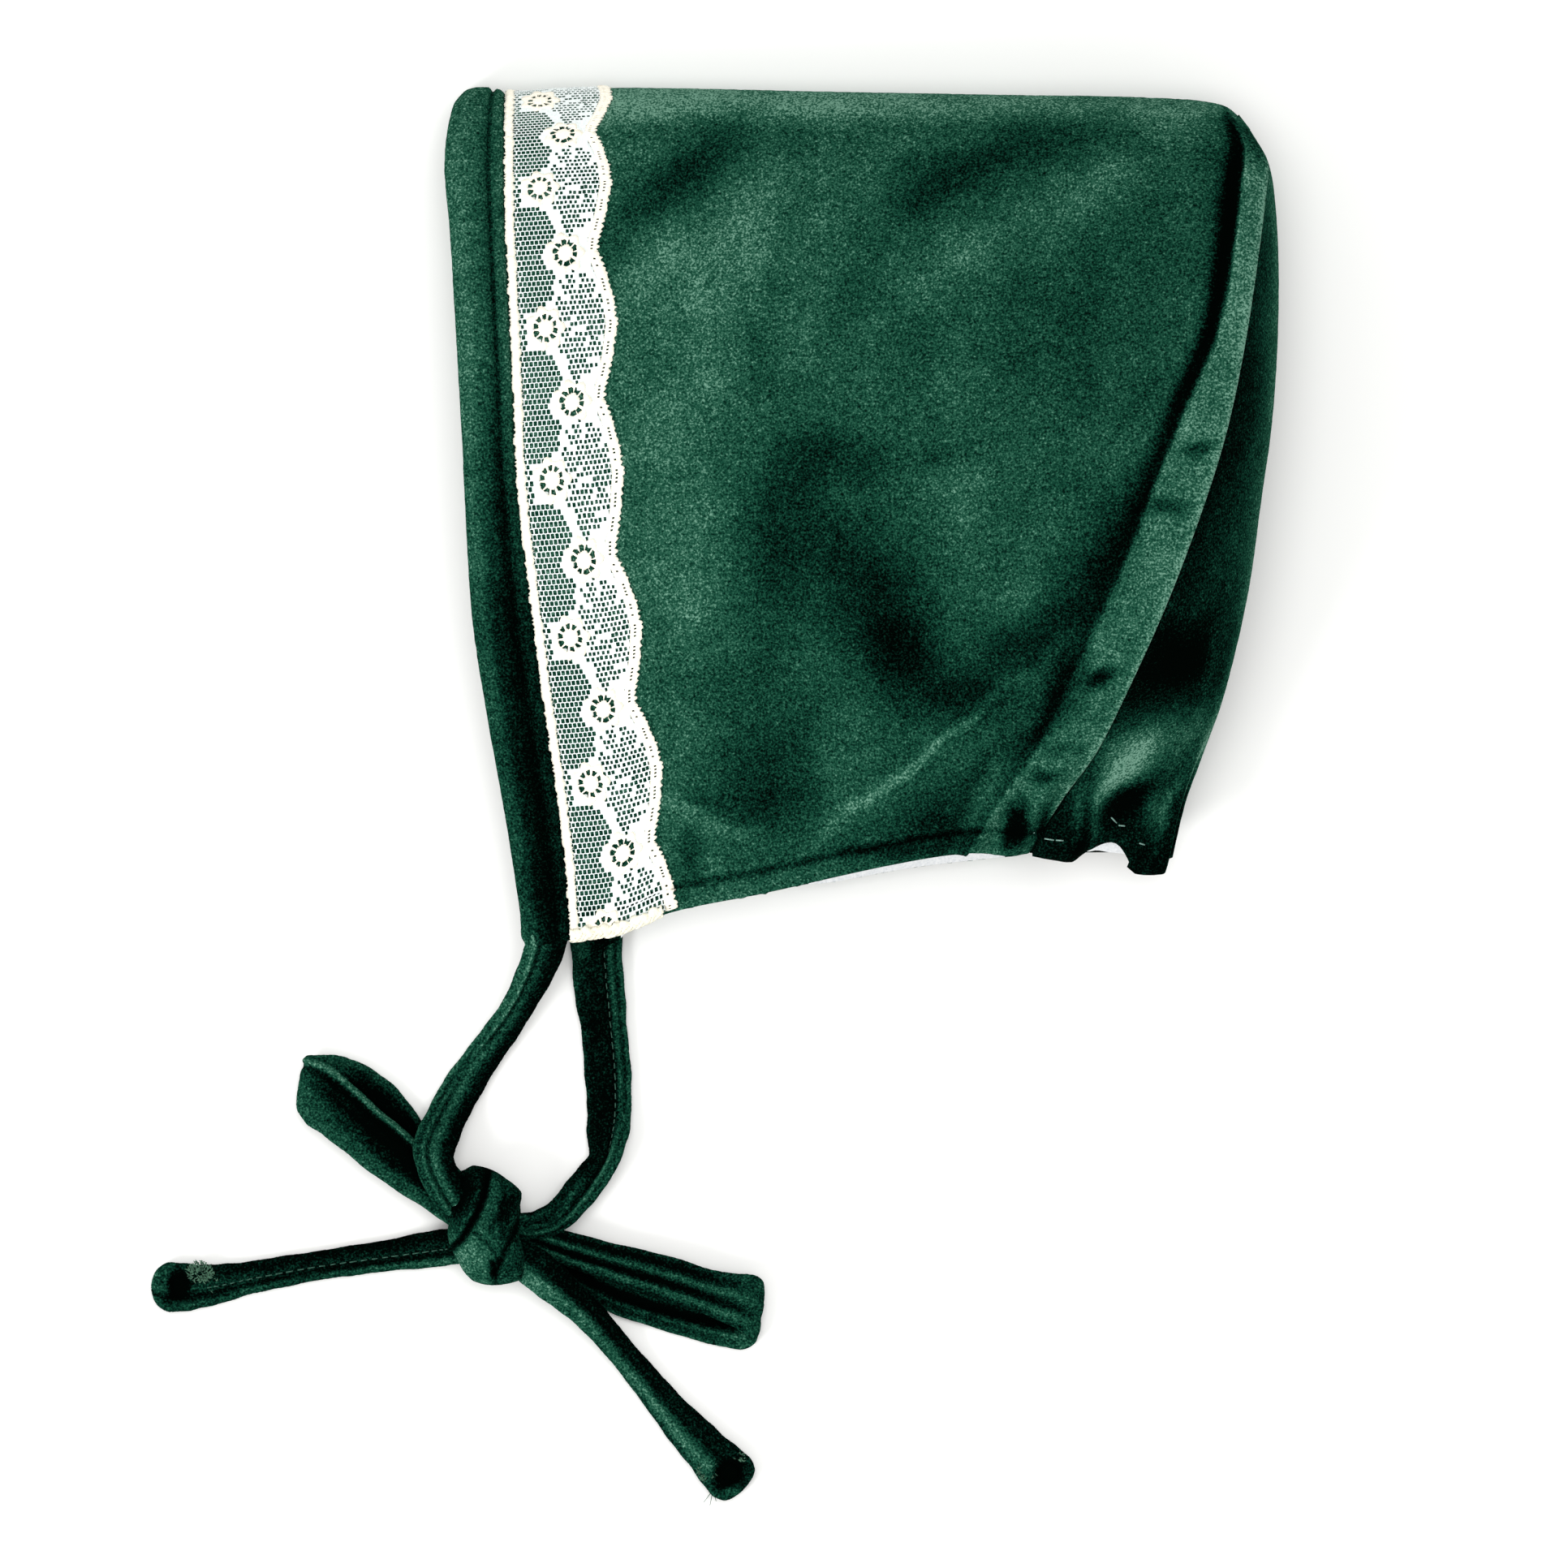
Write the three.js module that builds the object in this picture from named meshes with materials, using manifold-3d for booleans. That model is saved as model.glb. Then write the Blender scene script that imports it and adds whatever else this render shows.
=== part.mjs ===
// A baby bonnet in dark green velvet, lying on its side with its ties in a bow.
// +X runs from the face opening to the crown, +Y from the neck to the top of the head, and +Z up from
// the surface that it lies on.
import * as THREE from "three";
import { mergeVertices } from "three/addons/utils/BufferGeometryUtils.js";
import Module from "manifold-3d";

// Driving sizes of the bonnet, in millimetres
const PANEL_LENGTH = 151;
const FRONT_HEIGHT = 161;
const FACE_THICKNESS = 27;
const CROWN_THICKNESS = 50;
const FACE_FOLD_RADIUS = 7;
const CROWN_FOLD_RADIUS = 14;
const CROWN_BULGE = 25;
const FAR_CORNER_SHIFT = 9.3;
const FAR_HEM_DROP = 1.4;
const HEM_RUFFLE = 4;
const GATHER_DEPTH = 1.3;
const DENT_DEPTH = 2.4;

// Driving sizes of the cloth
const VELVET_WALL = 1.8;
const LINING_WALL = 0.9;
const LACE_WALL = 0.8;
const LACE_WIDTH = 20.6;
const LACE_MARGIN = 3;
const SCALLOP_DEPTH = 3.3;
const SCALLOP_PITCH = 28.6;
const SCALLOP_START = 8.2;
const SEAM_ALLOWANCE = 10;
const SEAM_RIDGE = 0.9;
const SEAM_GROOVE = 0.7;
const BINDING_PROUD = 1.3;
const GAP = 0.3;

// Driving sizes of the ties and the bow
const TIE_WIDTH = 9.3;
const TIE_THICKNESS = 2.6;
const LOOP_THICKNESS = 1.8;
const TIE_DROP = 54;
const KNOT_WIDTH = 13.5;
const KNOT_HEIGHT = 22;
const KNOT_THICKNESS = 13;
const KNOT_TILT = THREE.MathUtils.degToRad(12);
const KNOT_LEAN_SHARE = 0.215;
const KNOT_SQUARENESS_SHARE = 0.8;
const KNOT_BAND_SHARE = 0.06;
const KNOT_BAND_TURNS = { length: 9, across: 4 };
const LEFT_LOOP_REACH = 46;
const RIGHT_LOOP_REACH = 55;
const LEFT_END_REACH = 64.4;
const RIGHT_END_REACH = 68.5;

// How finely the surfaces are cut into facets
const ROWS_PER_LAYER = 14;
const FRONT_COLUMNS = 14;
const CROWN_COLUMNS = 22;
const FACETS_PER_SCALLOP = 8;
const STRAP_SIDES = 10;
const KNOT_RINGS = 12;
const KNOT_SIDES = 16;
const EDGE_SAMPLES = 400;
const LACE_SHARES = [0, 0.55, 1];
const STRIP_COLUMN_SHARES = [1.7, 1.25, 1, 0.72, 0.36, 0];
const LINING_FIRST_ROW = 3;
const FLATNESS_SHARE = 0.8;
const FOLD_SWEEP = THREE.MathUtils.degToRad(115);
const TINY_SHARE = 1e-3;
const MERGE_SHARE = 1e-3;
const VELVET_GREEN = 0x1f4a38;
const LINING_WHITE = 0xf1f2f0;
const LACE_CREAM = 0xf3ecd2;
const PILE_ROUGHNESS = 0.95;
const COTTON_ROUGHNESS = 0.9;

// Edges of the side panel: down is the share of the way from fold to hem, over a share of PANEL_LENGTH
const FACE_EDGE = [
  { down: 0, over: 0.02 },
  { down: 0.015, over: 0.009 },
  { down: 0.08, over: 0 },
  { down: 0.16, over: 0.007 },
  { down: 0.37, over: 0.02 },
  { down: 0.61, over: 0.033 },
  { down: 0.735, over: 0.053 },
  { down: 0.86, over: 0.077 },
  { down: 1, over: 0.1 },
];
const BINDING_EDGE = [
  { down: 0, over: 0.076 },
  { down: 0.14, over: 0.077 },
  { down: 0.336, over: 0.087 },
  { down: 0.467, over: 0.093 },
  { down: 0.709, over: 0.124 },
  { down: 0.878, over: 0.149 },
  { down: 1, over: 0.159 },
];
const SEAM_EDGE = [
  { down: 0, over: 1.011, strip: 0.3, bulge: 0 },
  { down: 0.02, over: 1.022, strip: 0.4, bulge: 0.004 },
  { down: 0.058, over: 1.039, strip: 0.47, bulge: 0.015 },
  { down: 0.103, over: 1.036, strip: 0.47, bulge: 0.08 },
  { down: 0.2, over: 1.024, strip: 0.47, bulge: 0.18 },
  { down: 0.309, over: 1.008, strip: 0.53, bulge: 0.265 },
  { down: 0.417, over: 0.987, strip: 0.85, bulge: 0.347 },
  { down: 0.511, over: 0.961, strip: 1, bulge: 0.43 },
  { down: 0.646, over: 0.915, strip: 1.06, bulge: 0.6 },
  { down: 0.788, over: 0.857, strip: 1.15, bulge: 0.765 },
  { down: 0.867, over: 0.82, strip: 1.16, bulge: 0.825 },
  { down: 0.927, over: 0.78, strip: 1.16, bulge: 0.92 },
  { down: 1, over: 0.738, strip: 1.16, bulge: 1.06 },
];
// Heights of the four corners of the side panel below the top of the head, as shares of FRONT_HEIGHT
const CORNERS = { bindingTop: 0.007, bindingFoot: 1.013, seamTop: 0.043, seamFoot: 0.91 };
// How far the top fold and the neck hem leave a straight line, as shares of FRONT_HEIGHT
const EDGE_SAG = [
  { along: 0, top: 0, hem: 0 },
  { along: 0.11, top: -0.01, hem: 0.003 },
  { along: 0.22, top: -0.014, hem: -0.01 },
  { along: 0.42, top: -0.017, hem: -0.012 },
  { along: 0.7, top: -0.022, hem: -0.017 },
  { along: 0.86, top: -0.025, hem: -0.014 },
  { along: 0.97, top: -0.02, hem: -0.001 },
  { along: 1, top: 0, hem: 0 },
];
// The raised strip of the seam allowance and the groove beside it, as shares of the strip's own width,
// and how far below the fold it is fully raised
const STRIP_EDGE = { start: 0.8, end: 1.08 };
const GROOVE = { middle: 1.25, spread: 0.16 };
const STRIP_RISE = { start: 0.005, end: 0.06 };
// Where a layer has changed over, as shares of the way along the panel from the binding to the seam
const THICKENING = { start: -0.1, end: 1 };
const DENT_ZONE = { start: 0.16, end: 0.3 };
const GATHER_ZONE = { start: 0.7, end: 0.85 };
const CORNER_SHIFT_ZONE = { start: 0.1, end: 0.9 };
const LACE_LIFT_SHARE = 0.12;
const NECK_FALL_SHARE = 1.02;
const HEM_DROP_POWER = 4;
const RUFFLE_START_SHARE = 0.85;
// Dents of the upper layer: place and spread as shares of the panel, depth as a share of DENT_DEPTH
const DENTS = [
  { along: 0.3, down: 0.1, spread: 0.1, depth: 0.5 },
  { along: 0.5, down: 0.44, spread: 0.15, depth: 1 },
  { along: 0.62, down: 0.68, spread: 0.12, depth: 0.8 },
  { along: 0.38, down: 0.8, spread: 0.13, depth: 0.7 },
  { along: 0.7, down: 0.22, spread: 0.13, depth: 0.45 },
  { along: 0.82, down: 0.5, spread: 0.11, depth: -0.6 },
  { along: 0.3, down: 0.3, spread: 0.14, depth: -0.5 },
];
// Share of its thickness that the bonnet keeps at the neck, from the face to the crown
const NECK_RISE = [
  { along: 0, rise: 0.5 },
  { along: 0.5, rise: 0.62 },
  { along: 1, rise: 0.52 },
];
// Ruffled neck edge of the crown, across from the near seam to the far one, as shares of HEM_RUFFLE
const CROWN_HEM = [
  { across: 0, drop: 0.1 },
  { across: 0.045, drop: 0.35 },
  { across: 0.09, drop: 0.4 },
  { across: 0.136, drop: -0.1 },
  { across: 0.182, drop: -0.25 },
  { across: 0.227, drop: 0.6 },
  { across: 0.273, drop: 0.9 },
  { across: 0.364, drop: 0.95 },
  { across: 0.5, drop: 0.7 },
  { across: 0.7, drop: 0.35 },
  { across: 1, drop: 0.1 },
];
const CROWN_GATHERS = 6;
const SIDE_GATHERS = 11;
const GATHER_START_SHARE = 0.8;
// How the walls of the two panels keep apart at the crown seam
const SEAM_CLEARANCE = 0.6;
const SEAM_INSET_SHARE = 0.006;
const SEAM_LEAN_SHARE = 2;
const SEAM_MITRE_SHARE = 0.55;

// Ties from the front corners to the knot: down is the share of that way, aside a share of TIE_DROP,
// lift the share of the corner's height that is left, climb the share of the knot's middle height
const NEAR_TIE = [
  { down: 0, aside: 0, lift: 1, climb: 0, roll: 0, width: 0.88 },
  { down: 0.145, aside: -0.032, lift: 0.7, climb: 0, roll: -20, width: 0.78 },
  { down: 0.262, aside: -0.073, lift: 0.38, climb: 0, roll: -28, width: 0.75 },
  { down: 0.395, aside: -0.139, lift: 0.14, climb: 0.1, roll: -20, width: 0.76 },
  { down: 0.53, aside: -0.199, lift: 0.02, climb: 0.35, roll: -10, width: 0.78 },
  { down: 0.66, aside: -0.231, lift: 0, climb: 1.15, roll: -5, width: 0.8 },
  { down: 0.758, aside: -0.236, lift: 0, climb: 1.5, roll: 0, width: 0.78 },
  { down: 0.855, aside: -0.183, lift: 0, climb: 1.5, roll: 0, width: 0.72 },
  { down: 0.943, aside: -0.087, lift: 0, climb: 1.3, roll: 0, width: 0.66 },
  { down: 1, aside: 0, lift: 0, climb: 1.1, roll: 0, width: 0.6 },
];
const FAR_TIE = [
  { down: 0, aside: 0, lift: 1, climb: 0, roll: 0, width: 0.98 },
  { down: 0.147, aside: 0.063, lift: 0.5, climb: 0, roll: 0, width: 1 },
  { down: 0.293, aside: 0.14, lift: 0.1, climb: 0, roll: 0, width: 0.95 },
  { down: 0.458, aside: 0.219, lift: 0, climb: 0, roll: 4, width: 0.9 },
  { down: 0.604, aside: 0.282, lift: 0, climb: 0.08, roll: 10, width: 0.86 },
  { down: 0.74, aside: 0.326, lift: 0, climb: 0.4, roll: 28, width: 0.8 },
  { down: 0.816, aside: 0.33, lift: 0, climb: 0.6, roll: 42, width: 0.74 },
  { down: 0.87, aside: 0.299, lift: 0, climb: 0.8, roll: 45, width: 0.7 },
  { down: 0.924, aside: 0.263, lift: 0, climb: 1.1, roll: 30, width: 0.64 },
  { down: 0.966, aside: 0.2, lift: 0, climb: 1.35, roll: 12, width: 0.58 },
  { down: 0.985, aside: 0.13, lift: 0, climb: 1.4, roll: 4, width: 0.54 },
  { down: 0.995, aside: 0.02, lift: 0, climb: 1.3, roll: 0, width: 0.5 },
];
// Loops and ends from the middle of the knot: along and aside are shares of the strap's reach,
// rise is the height in strap thicknesses, roll is in degrees and width is a share of TIE_WIDTH
const LEFT_LOOP = [
  { along: 0, aside: 0.03, rise: 2.4, roll: -10, width: 0.6 },
  { along: 0.1, aside: 0.03, rise: 2.3, roll: -12, width: 0.66 },
  { along: 0.284, aside: 0.018, rise: 2.3, roll: -16, width: 0.82 },
  { along: 0.502, aside: 0.004, rise: 2.6, roll: -22, width: 0.98 },
  { along: 0.72, aside: -0.002, rise: 2.9, roll: -28, width: 1 },
  { along: 0.87, aside: -0.002, rise: 3.1, roll: -42, width: 1 },
  { along: 0.965, aside: -0.016, rise: 3.1, roll: -62, width: 1 },
  { along: 1, aside: -0.055, rise: 3, roll: -84, width: 1 },
  { along: 0.98, aside: -0.1, rise: 3, roll: -100, width: 1 },
  { along: 0.9, aside: -0.13, rise: 2.9, roll: -112, width: 1 },
  { along: 0.77, aside: -0.148, rise: 2.7, roll: -122, width: 0.98 },
  { along: 0.6, aside: -0.148, rise: 2.3, roll: -130, width: 0.92 },
  { along: 0.43, aside: -0.118, rise: 1.7, roll: -144, width: 0.78 },
  { along: 0.25, aside: -0.064, rise: 0.95, roll: -166, width: 0.66 },
  { along: 0.12, aside: -0.02, rise: 0.85, roll: -175, width: 0.6 },
  { along: 0, aside: 0, rise: 1.9, roll: -180, width: 0.55 },
];
const RIGHT_LOOP = [
  { along: 0, aside: 0, rise: 1.2, roll: 4, width: 0.55 },
  { along: 0.132, aside: -0.024, rise: 0.7, roll: 3, width: 0.6 },
  { along: 0.287, aside: -0.055, rise: 0.95, roll: 8, width: 0.75 },
  { along: 0.454, aside: -0.082, rise: 1.6, roll: 22, width: 0.9 },
  { along: 0.604, aside: -0.1, rise: 2.1, roll: 32, width: 0.98 },
  { along: 0.776, aside: -0.107, rise: 2.4, roll: 40, width: 1 },
  { along: 0.9, aside: -0.102, rise: 2.7, roll: 56, width: 1 },
  { along: 0.975, aside: -0.08, rise: 2.8, roll: 74, width: 1 },
  { along: 1, aside: -0.04, rise: 2.9, roll: 90, width: 1 },
  { along: 0.98, aside: 0.004, rise: 2.8, roll: 102, width: 1 },
  { along: 0.9, aside: 0.036, rise: 2.8, roll: 110, width: 1 },
  { along: 0.77, aside: 0.048, rise: 2.7, roll: 116, width: 0.98 },
  { along: 0.608, aside: 0.044, rise: 2.6, roll: 124, width: 0.92 },
  { along: 0.448, aside: 0.03, rise: 2.4, roll: 138, width: 0.8 },
  { along: 0.302, aside: 0.012, rise: 2.1, roll: 160, width: 0.66 },
  { along: 0.155, aside: 0.002, rise: 1.85, roll: 176, width: 0.58 },
  { along: 0, aside: 0.01, rise: 1.9, roll: 180, width: 0.52 },
];
const LEFT_END = [
  { along: 0, aside: 0.02, rise: 1.4, roll: 0, width: 0.55 },
  { along: 0.092, aside: 0.054, rise: 0.75, roll: 0, width: 0.62 },
  { along: 0.248, aside: 0.038, rise: 0.55, roll: 2, width: 0.64 },
  { along: 0.454, aside: 0.027, rise: 0.56, roll: 4, width: 0.66 },
  { along: 0.641, aside: 0.02, rise: 0.56, roll: 3, width: 0.66 },
  { along: 0.783, aside: 0.017, rise: 0.58, roll: 2, width: 0.74 },
  { along: 0.905, aside: 0.013, rise: 0.64, roll: 0, width: 0.84 },
  { along: 0.996, aside: 0.003, rise: 0.7, roll: 0, width: 0.8 },
];
const RIGHT_END = [
  { along: 0, aside: 0, rise: 2.2, roll: 0, width: 0.6 },
  { along: 0.072, aside: 0.012, rise: 2.2, roll: 0, width: 0.66 },
  { along: 0.156, aside: 0.038, rise: 2.25, roll: 0, width: 0.76 },
  { along: 0.279, aside: 0.051, rise: 2.45, roll: -6, width: 0.76 },
  { along: 0.396, aside: 0.033, rise: 2.1, roll: -10, width: 0.7 },
  { along: 0.501, aside: 0.02, rise: 1.1, roll: -6, width: 0.68 },
  { along: 0.592, aside: 0.01, rise: 0.62, roll: -2, width: 0.68 },
  { along: 0.784, aside: -0.012, rise: 0.58, roll: 0, width: 0.72 },
  { along: 0.896, aside: -0.01, rise: 0.66, roll: 0, width: 0.8 },
  { along: 1.003, aside: -0.003, rise: 0.74, roll: 0, width: 0.86 },
];
const LEFT_LOOP_HEADING = THREE.MathUtils.degToRad(142.5);
const RIGHT_LOOP_HEADING = THREE.MathUtils.degToRad(-16.8);
const LEFT_END_HEADING = THREE.MathUtils.degToRad(191);
const RIGHT_END_HEADING = THREE.MathUtils.degToRad(-46);

// Every wall of the face edge, from the velvet outside to the lining inside
const BODY_DEPTH = VELVET_WALL + GAP + LINING_WALL;

const wasm = await Module();
wasm.setup();
const { lerp, clamp, smoothstep } = THREE.MathUtils;

// Reads one column of a table as a smooth curve over another
function curveOf(rows, across, name) {
  const places = rows.map((row) => row[across]);
  const values = rows.map((row) => row[name]);
  const smooth = new THREE.CubicInterpolant(places, values, 1);
  const last = places[places.length - 1];
  return (at) => smooth.evaluate(clamp(at, places[0], last))[0];
}

const faceOver = curveOf(FACE_EDGE, "down", "over");
const bindingOver = curveOf(BINDING_EDGE, "down", "over");
const seamOver = curveOf(SEAM_EDGE, "down", "over");
const stripShare = curveOf(SEAM_EDGE, "down", "strip");
const bulgeShare = curveOf(SEAM_EDGE, "down", "bulge");
const topSag = curveOf(EDGE_SAG, "along", "top");
const hemSag = curveOf(EDGE_SAG, "along", "hem");
const neckRise = curveOf(NECK_RISE, "along", "rise");
const crownHem = curveOf(CROWN_HEM, "across", "drop");

// The way down from the fold, in steps that are fine round the fold and wide at the neck
function downOf(turn) {
  return (1 - Math.cos(FOLD_SWEEP * Math.abs(turn))) / (1 - Math.cos(FOLD_SWEEP));
}

// Length of the side panel from the binding to the crown seam, at one height
function panelWidth(down) {
  return PANEL_LENGTH * (seamOver(down) - bindingOver(down));
}

// Place of a point of the side panel seen from above, before the fold gives it height
function planOf(along, down) {
  const left = lerp(CORNERS.bindingTop, CORNERS.bindingFoot, down);
  const right = lerp(CORNERS.seamTop, CORNERS.seamFoot, down);
  const sag = (1 - down) * topSag(along) + down * hemSag(along);
  return {
    x: PANEL_LENGTH * lerp(bindingOver(down), seamOver(down), along),
    y: -FRONT_HEIGHT * (lerp(left, right, along) + sag),
  };
}

function foldRadius(along) {
  return lerp(FACE_FOLD_RADIUS, CROWN_FOLD_RADIUS, smoothstep(along, 0, 1));
}

function fullRise(along) {
  return lerp(FACE_THICKNESS, CROWN_THICKNESS, smoothstep(along, THICKENING.start, THICKENING.end));
}

// Raised strip of the seam allowance, with the groove on its open side
function seamRelief(along, down) {
  const strip = SEAM_ALLOWANCE * stripShare(down);
  const inward = (1 - along) * panelWidth(down);
  const raised = 1 - smoothstep(inward, STRIP_EDGE.start * strip, STRIP_EDGE.end * strip);
  const groove = Math.exp(-(((inward - GROOVE.middle * strip) / (GROOVE.spread * strip)) ** 2));
  const risen = smoothstep(down, STRIP_RISE.start, STRIP_RISE.end);
  return risen * (SEAM_RIDGE * raised - SEAM_GROOVE * groove);
}

function dentRelief(along, down) {
  const sum = DENTS.reduce((total, dent) => {
    const away = Math.hypot(along - dent.along, down - dent.down) / dent.spread;
    return total + dent.depth * Math.exp(-away * away);
  }, 0);
  return -DENT_DEPTH * sum * smoothstep(along, DENT_ZONE.start, DENT_ZONE.end);
}

function sideGathers(along, down) {
  const nearNeck = smoothstep(down, GATHER_START_SHARE, 1);
  const nearSeam = smoothstep(along, GATHER_ZONE.start, GATHER_ZONE.end);
  return GATHER_DEPTH * nearNeck * nearSeam * Math.cos(2 * Math.PI * SIDE_GATHERS * (1 - along) + Math.PI);
}

// Height of the upper layer: a long quarter oval up from the fold, then a slow fall to the neck
function upperRise(along, down, reach) {
  const radius = foldRadius(along);
  const top = fullRise(along);
  const half = top - radius;
  const crest = (half * half) / radius;
  const drop = down * reach;
  if (drop < crest) {
    return radius + half * Math.sqrt(Math.max(0, 1 - (1 - drop / crest) ** 2));
  }
  const past = smoothstep(drop, crest, reach * NECK_FALL_SHARE);
  return top * (1 - (1 - neckRise(along)) * past);
}

// Height of the under layer, flat on the surface but for the fold and the lace that it lies on
function underRise(along, down, reach) {
  const radius = foldRadius(along);
  const drop = down * reach;
  const left = Math.max(0, radius - drop);
  const round = radius - Math.sqrt(radius * radius - left * left);
  const laceEnd = (LACE_WIDTH + LACE_MARGIN) / panelWidth(down);
  const lift = BINDING_PROUD * (1 - smoothstep(along, laceEnd, laceEnd + LACE_LIFT_SHARE));
  return round + lift * (1 - left / radius);
}

// The outer face of the side panel: along runs from the binding to the seam,
// turn from -1 at the hem of the under layer, over the fold at 0, to 1 at the hem of the upper layer
function sidePoint(along, turn, gathered = 1) {
  const down = downOf(turn);
  const plan = planOf(along, down);
  const reach = FRONT_HEIGHT * lerp(CORNERS.bindingFoot, CORNERS.seamFoot - CORNERS.seamTop, along);
  const gather = gathered * sideGathers(along, down);
  const relief = seamRelief(along, down) + dentRelief(along, down) + gather;
  if (turn >= 0) {
    const settled = smoothstep(down * reach, 0, foldRadius(along));
    return new THREE.Vector3(plan.x, plan.y, upperRise(along, down, reach) + relief * settled);
  }
  const inFront = 1 - smoothstep(along, CORNER_SHIFT_ZONE.start, CORNER_SHIFT_ZONE.end);
  const shift = FAR_CORNER_SHIFT * down * down * inFront;
  const hemDrop = FAR_HEM_DROP * down ** HEM_DROP_POWER * Math.sin(Math.PI * clamp(along, 0, 1));
  return new THREE.Vector3(plan.x + shift, plan.y - hemDrop, underRise(along, down, reach));
}

// The outer face of the crown: turn runs from the top of the seam to the neck, across from the upper
// seam round the back to the under one
function crownPoint(turn, across, gathered = 1) {
  const down = downOf(turn);
  const upper = sidePoint(1, turn, gathered);
  const under = sidePoint(1, -turn, gathered);
  const arch = 4 * across * (1 - across);
  const nearNeck = smoothstep(down, GATHER_START_SHARE, 1);
  const wave = Math.sin(2 * Math.PI * CROWN_GATHERS * across) * Math.sqrt(arch);
  const gather = gathered * GATHER_DEPTH * nearNeck * wave;
  const point = upper.clone().lerp(under, across);
  point.x += CROWN_BULGE * bulgeShare(down) * arch + gather;
  point.y -= HEM_RUFFLE * crownHem(across) * smoothstep(down, RUFFLE_START_SHARE, 1);
  return point;
}

// Outward direction of a surface without its gathers, from its slopes both ways
function facing(surface, first, second, lowest, highest) {
  const before = Math.max(second - TINY_SHARE, lowest);
  const after = Math.min(second + TINY_SHARE, highest);
  const slopeFirst = surface(first + TINY_SHARE, second, 0).sub(surface(first - TINY_SHARE, second, 0));
  const slopeSecond = surface(first, after, 0).sub(surface(first, before, 0));
  return slopeFirst.cross(slopeSecond).normalize();
}

function sideFacing(along, turn) {
  return facing(sidePoint, along, turn, -1, 1).negate();
}

function crownFacing(turn, across) {
  const at = clamp(turn, 2 * TINY_SHARE, 1 - 2 * TINY_SHARE);
  return facing(crownPoint, at, across, 0, 1);
}

// Close to the seam the crown's wall leans with the side panel's, so that the two stay apart
function crownLeaning(turn, across) {
  const down = downOf(turn);
  const span = sidePoint(1, turn).distanceTo(sidePoint(1, -turn));
  const lean = (distance) => 1 - smoothstep(distance, 0, SEAM_LEAN_SHARE * BODY_DEPTH);
  return crownFacing(turn, across)
    .lerp(seamFacing(turn), lean(across * span))
    .lerp(seamFacing(-turn), lean((1 - across) * span))
    .lerp(seamFacing(0), lean(FRONT_HEIGHT * down));
}

// The shared direction of both walls at the crown seam, lengthened so that each keeps its thickness
function seamFacing(turn) {
  const across = turn >= 0 ? 0 : 1;
  const side = sideFacing(1, turn);
  const onFold = Math.abs(turn) * ROWS_PER_LAYER < 1 / 2;
  const crown = onFold ? new THREE.Vector3(1, 0, 0) : crownFacing(Math.abs(turn), across);
  const shared = side.clone().add(crown).normalize();
  return shared.divideScalar(Math.max(shared.dot(side), SEAM_MITRE_SHARE));
}

// A closed wall between two depths below a grid of points, each with its outward direction
function wallOf(grid, outer, inner) {
  const rows = grid.length;
  const columns = grid[0].length;
  const layers = [outer, inner].map((depth) =>
    grid.map((row) => row.map((node) => node.point.clone().addScaledVector(node.facing, -depth))),
  );
  const corners = [];
  const quad = (a, b, c, d) => corners.push(a, b, c, a, c, d);
  const [top, bottom] = layers;
  const right = columns - 1;
  const last = rows - 1;
  for (let i = 0; i < last; i += 1) {
    for (let j = 0; j < right; j += 1) {
      quad(top[i][j], top[i][j + 1], top[i + 1][j + 1], top[i + 1][j]);
      quad(bottom[i][j], bottom[i + 1][j], bottom[i + 1][j + 1], bottom[i][j + 1]);
    }
  }
  for (let i = 0; i < last; i += 1) {
    quad(top[i][0], top[i + 1][0], bottom[i + 1][0], bottom[i][0]);
    quad(top[i + 1][right], top[i][right], bottom[i][right], bottom[i + 1][right]);
  }
  for (let j = 0; j < right; j += 1) {
    quad(top[0][j + 1], top[0][j], bottom[0][j], bottom[0][j + 1]);
    quad(top[last][j], top[last][j + 1], bottom[last][j + 1], bottom[last][j]);
  }
  return closedBody(corners);
}

// Joins loose corners into one closed body and drops the triangles that have no area
function closedBody(corners) {
  const loose = new THREE.BufferGeometry().setFromPoints(corners);
  const merged = mergeVertices(loose, MERGE_SHARE);
  const index = [];
  const source = merged.index.array;
  for (let i = 0; i < source.length; i += 3) {
    const [a, b, c] = [source[i], source[i + 1], source[i + 2]];
    if (a !== b && b !== c && c !== a) {
      index.push(a, b, c);
    }
  }
  merged.setIndex(index);
  return merged;
}

// Sweeps a ring of points along stations and closes both ends with a fan
function sweptBody(rings) {
  const corners = [];
  const sides = rings[0].length;
  for (let i = 0; i < rings.length - 1; i += 1) {
    for (let j = 0; j < sides; j += 1) {
      const next = (j + 1) % sides;
      const [a, b, c, d] = [rings[i][j], rings[i][next], rings[i + 1][next], rings[i + 1][j]];
      corners.push(a, b, c, a, c, d);
    }
  }
  const last = rings[rings.length - 1];
  for (let j = 1; j < sides - 1; j += 1) {
    corners.push(rings[0][0], rings[0][j + 1], rings[0][j]);
    corners.push(last[0], last[j], last[j + 1]);
  }
  return closedBody(corners);
}

// Columns of the side panel: even over the front, then set by the strip of the seam allowance
function sideColumns(down) {
  const strip = (SEAM_ALLOWANCE * stripShare(down)) / panelWidth(down);
  const start = GAP / panelWidth(down);
  const stripColumns = STRIP_COLUMN_SHARES.map((share) => 1 - share * strip);
  const front = Array.from({ length: FRONT_COLUMNS }, (_, i) =>
    lerp(start, stripColumns[0], i / FRONT_COLUMNS),
  );
  return front.concat(stripColumns);
}

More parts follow.
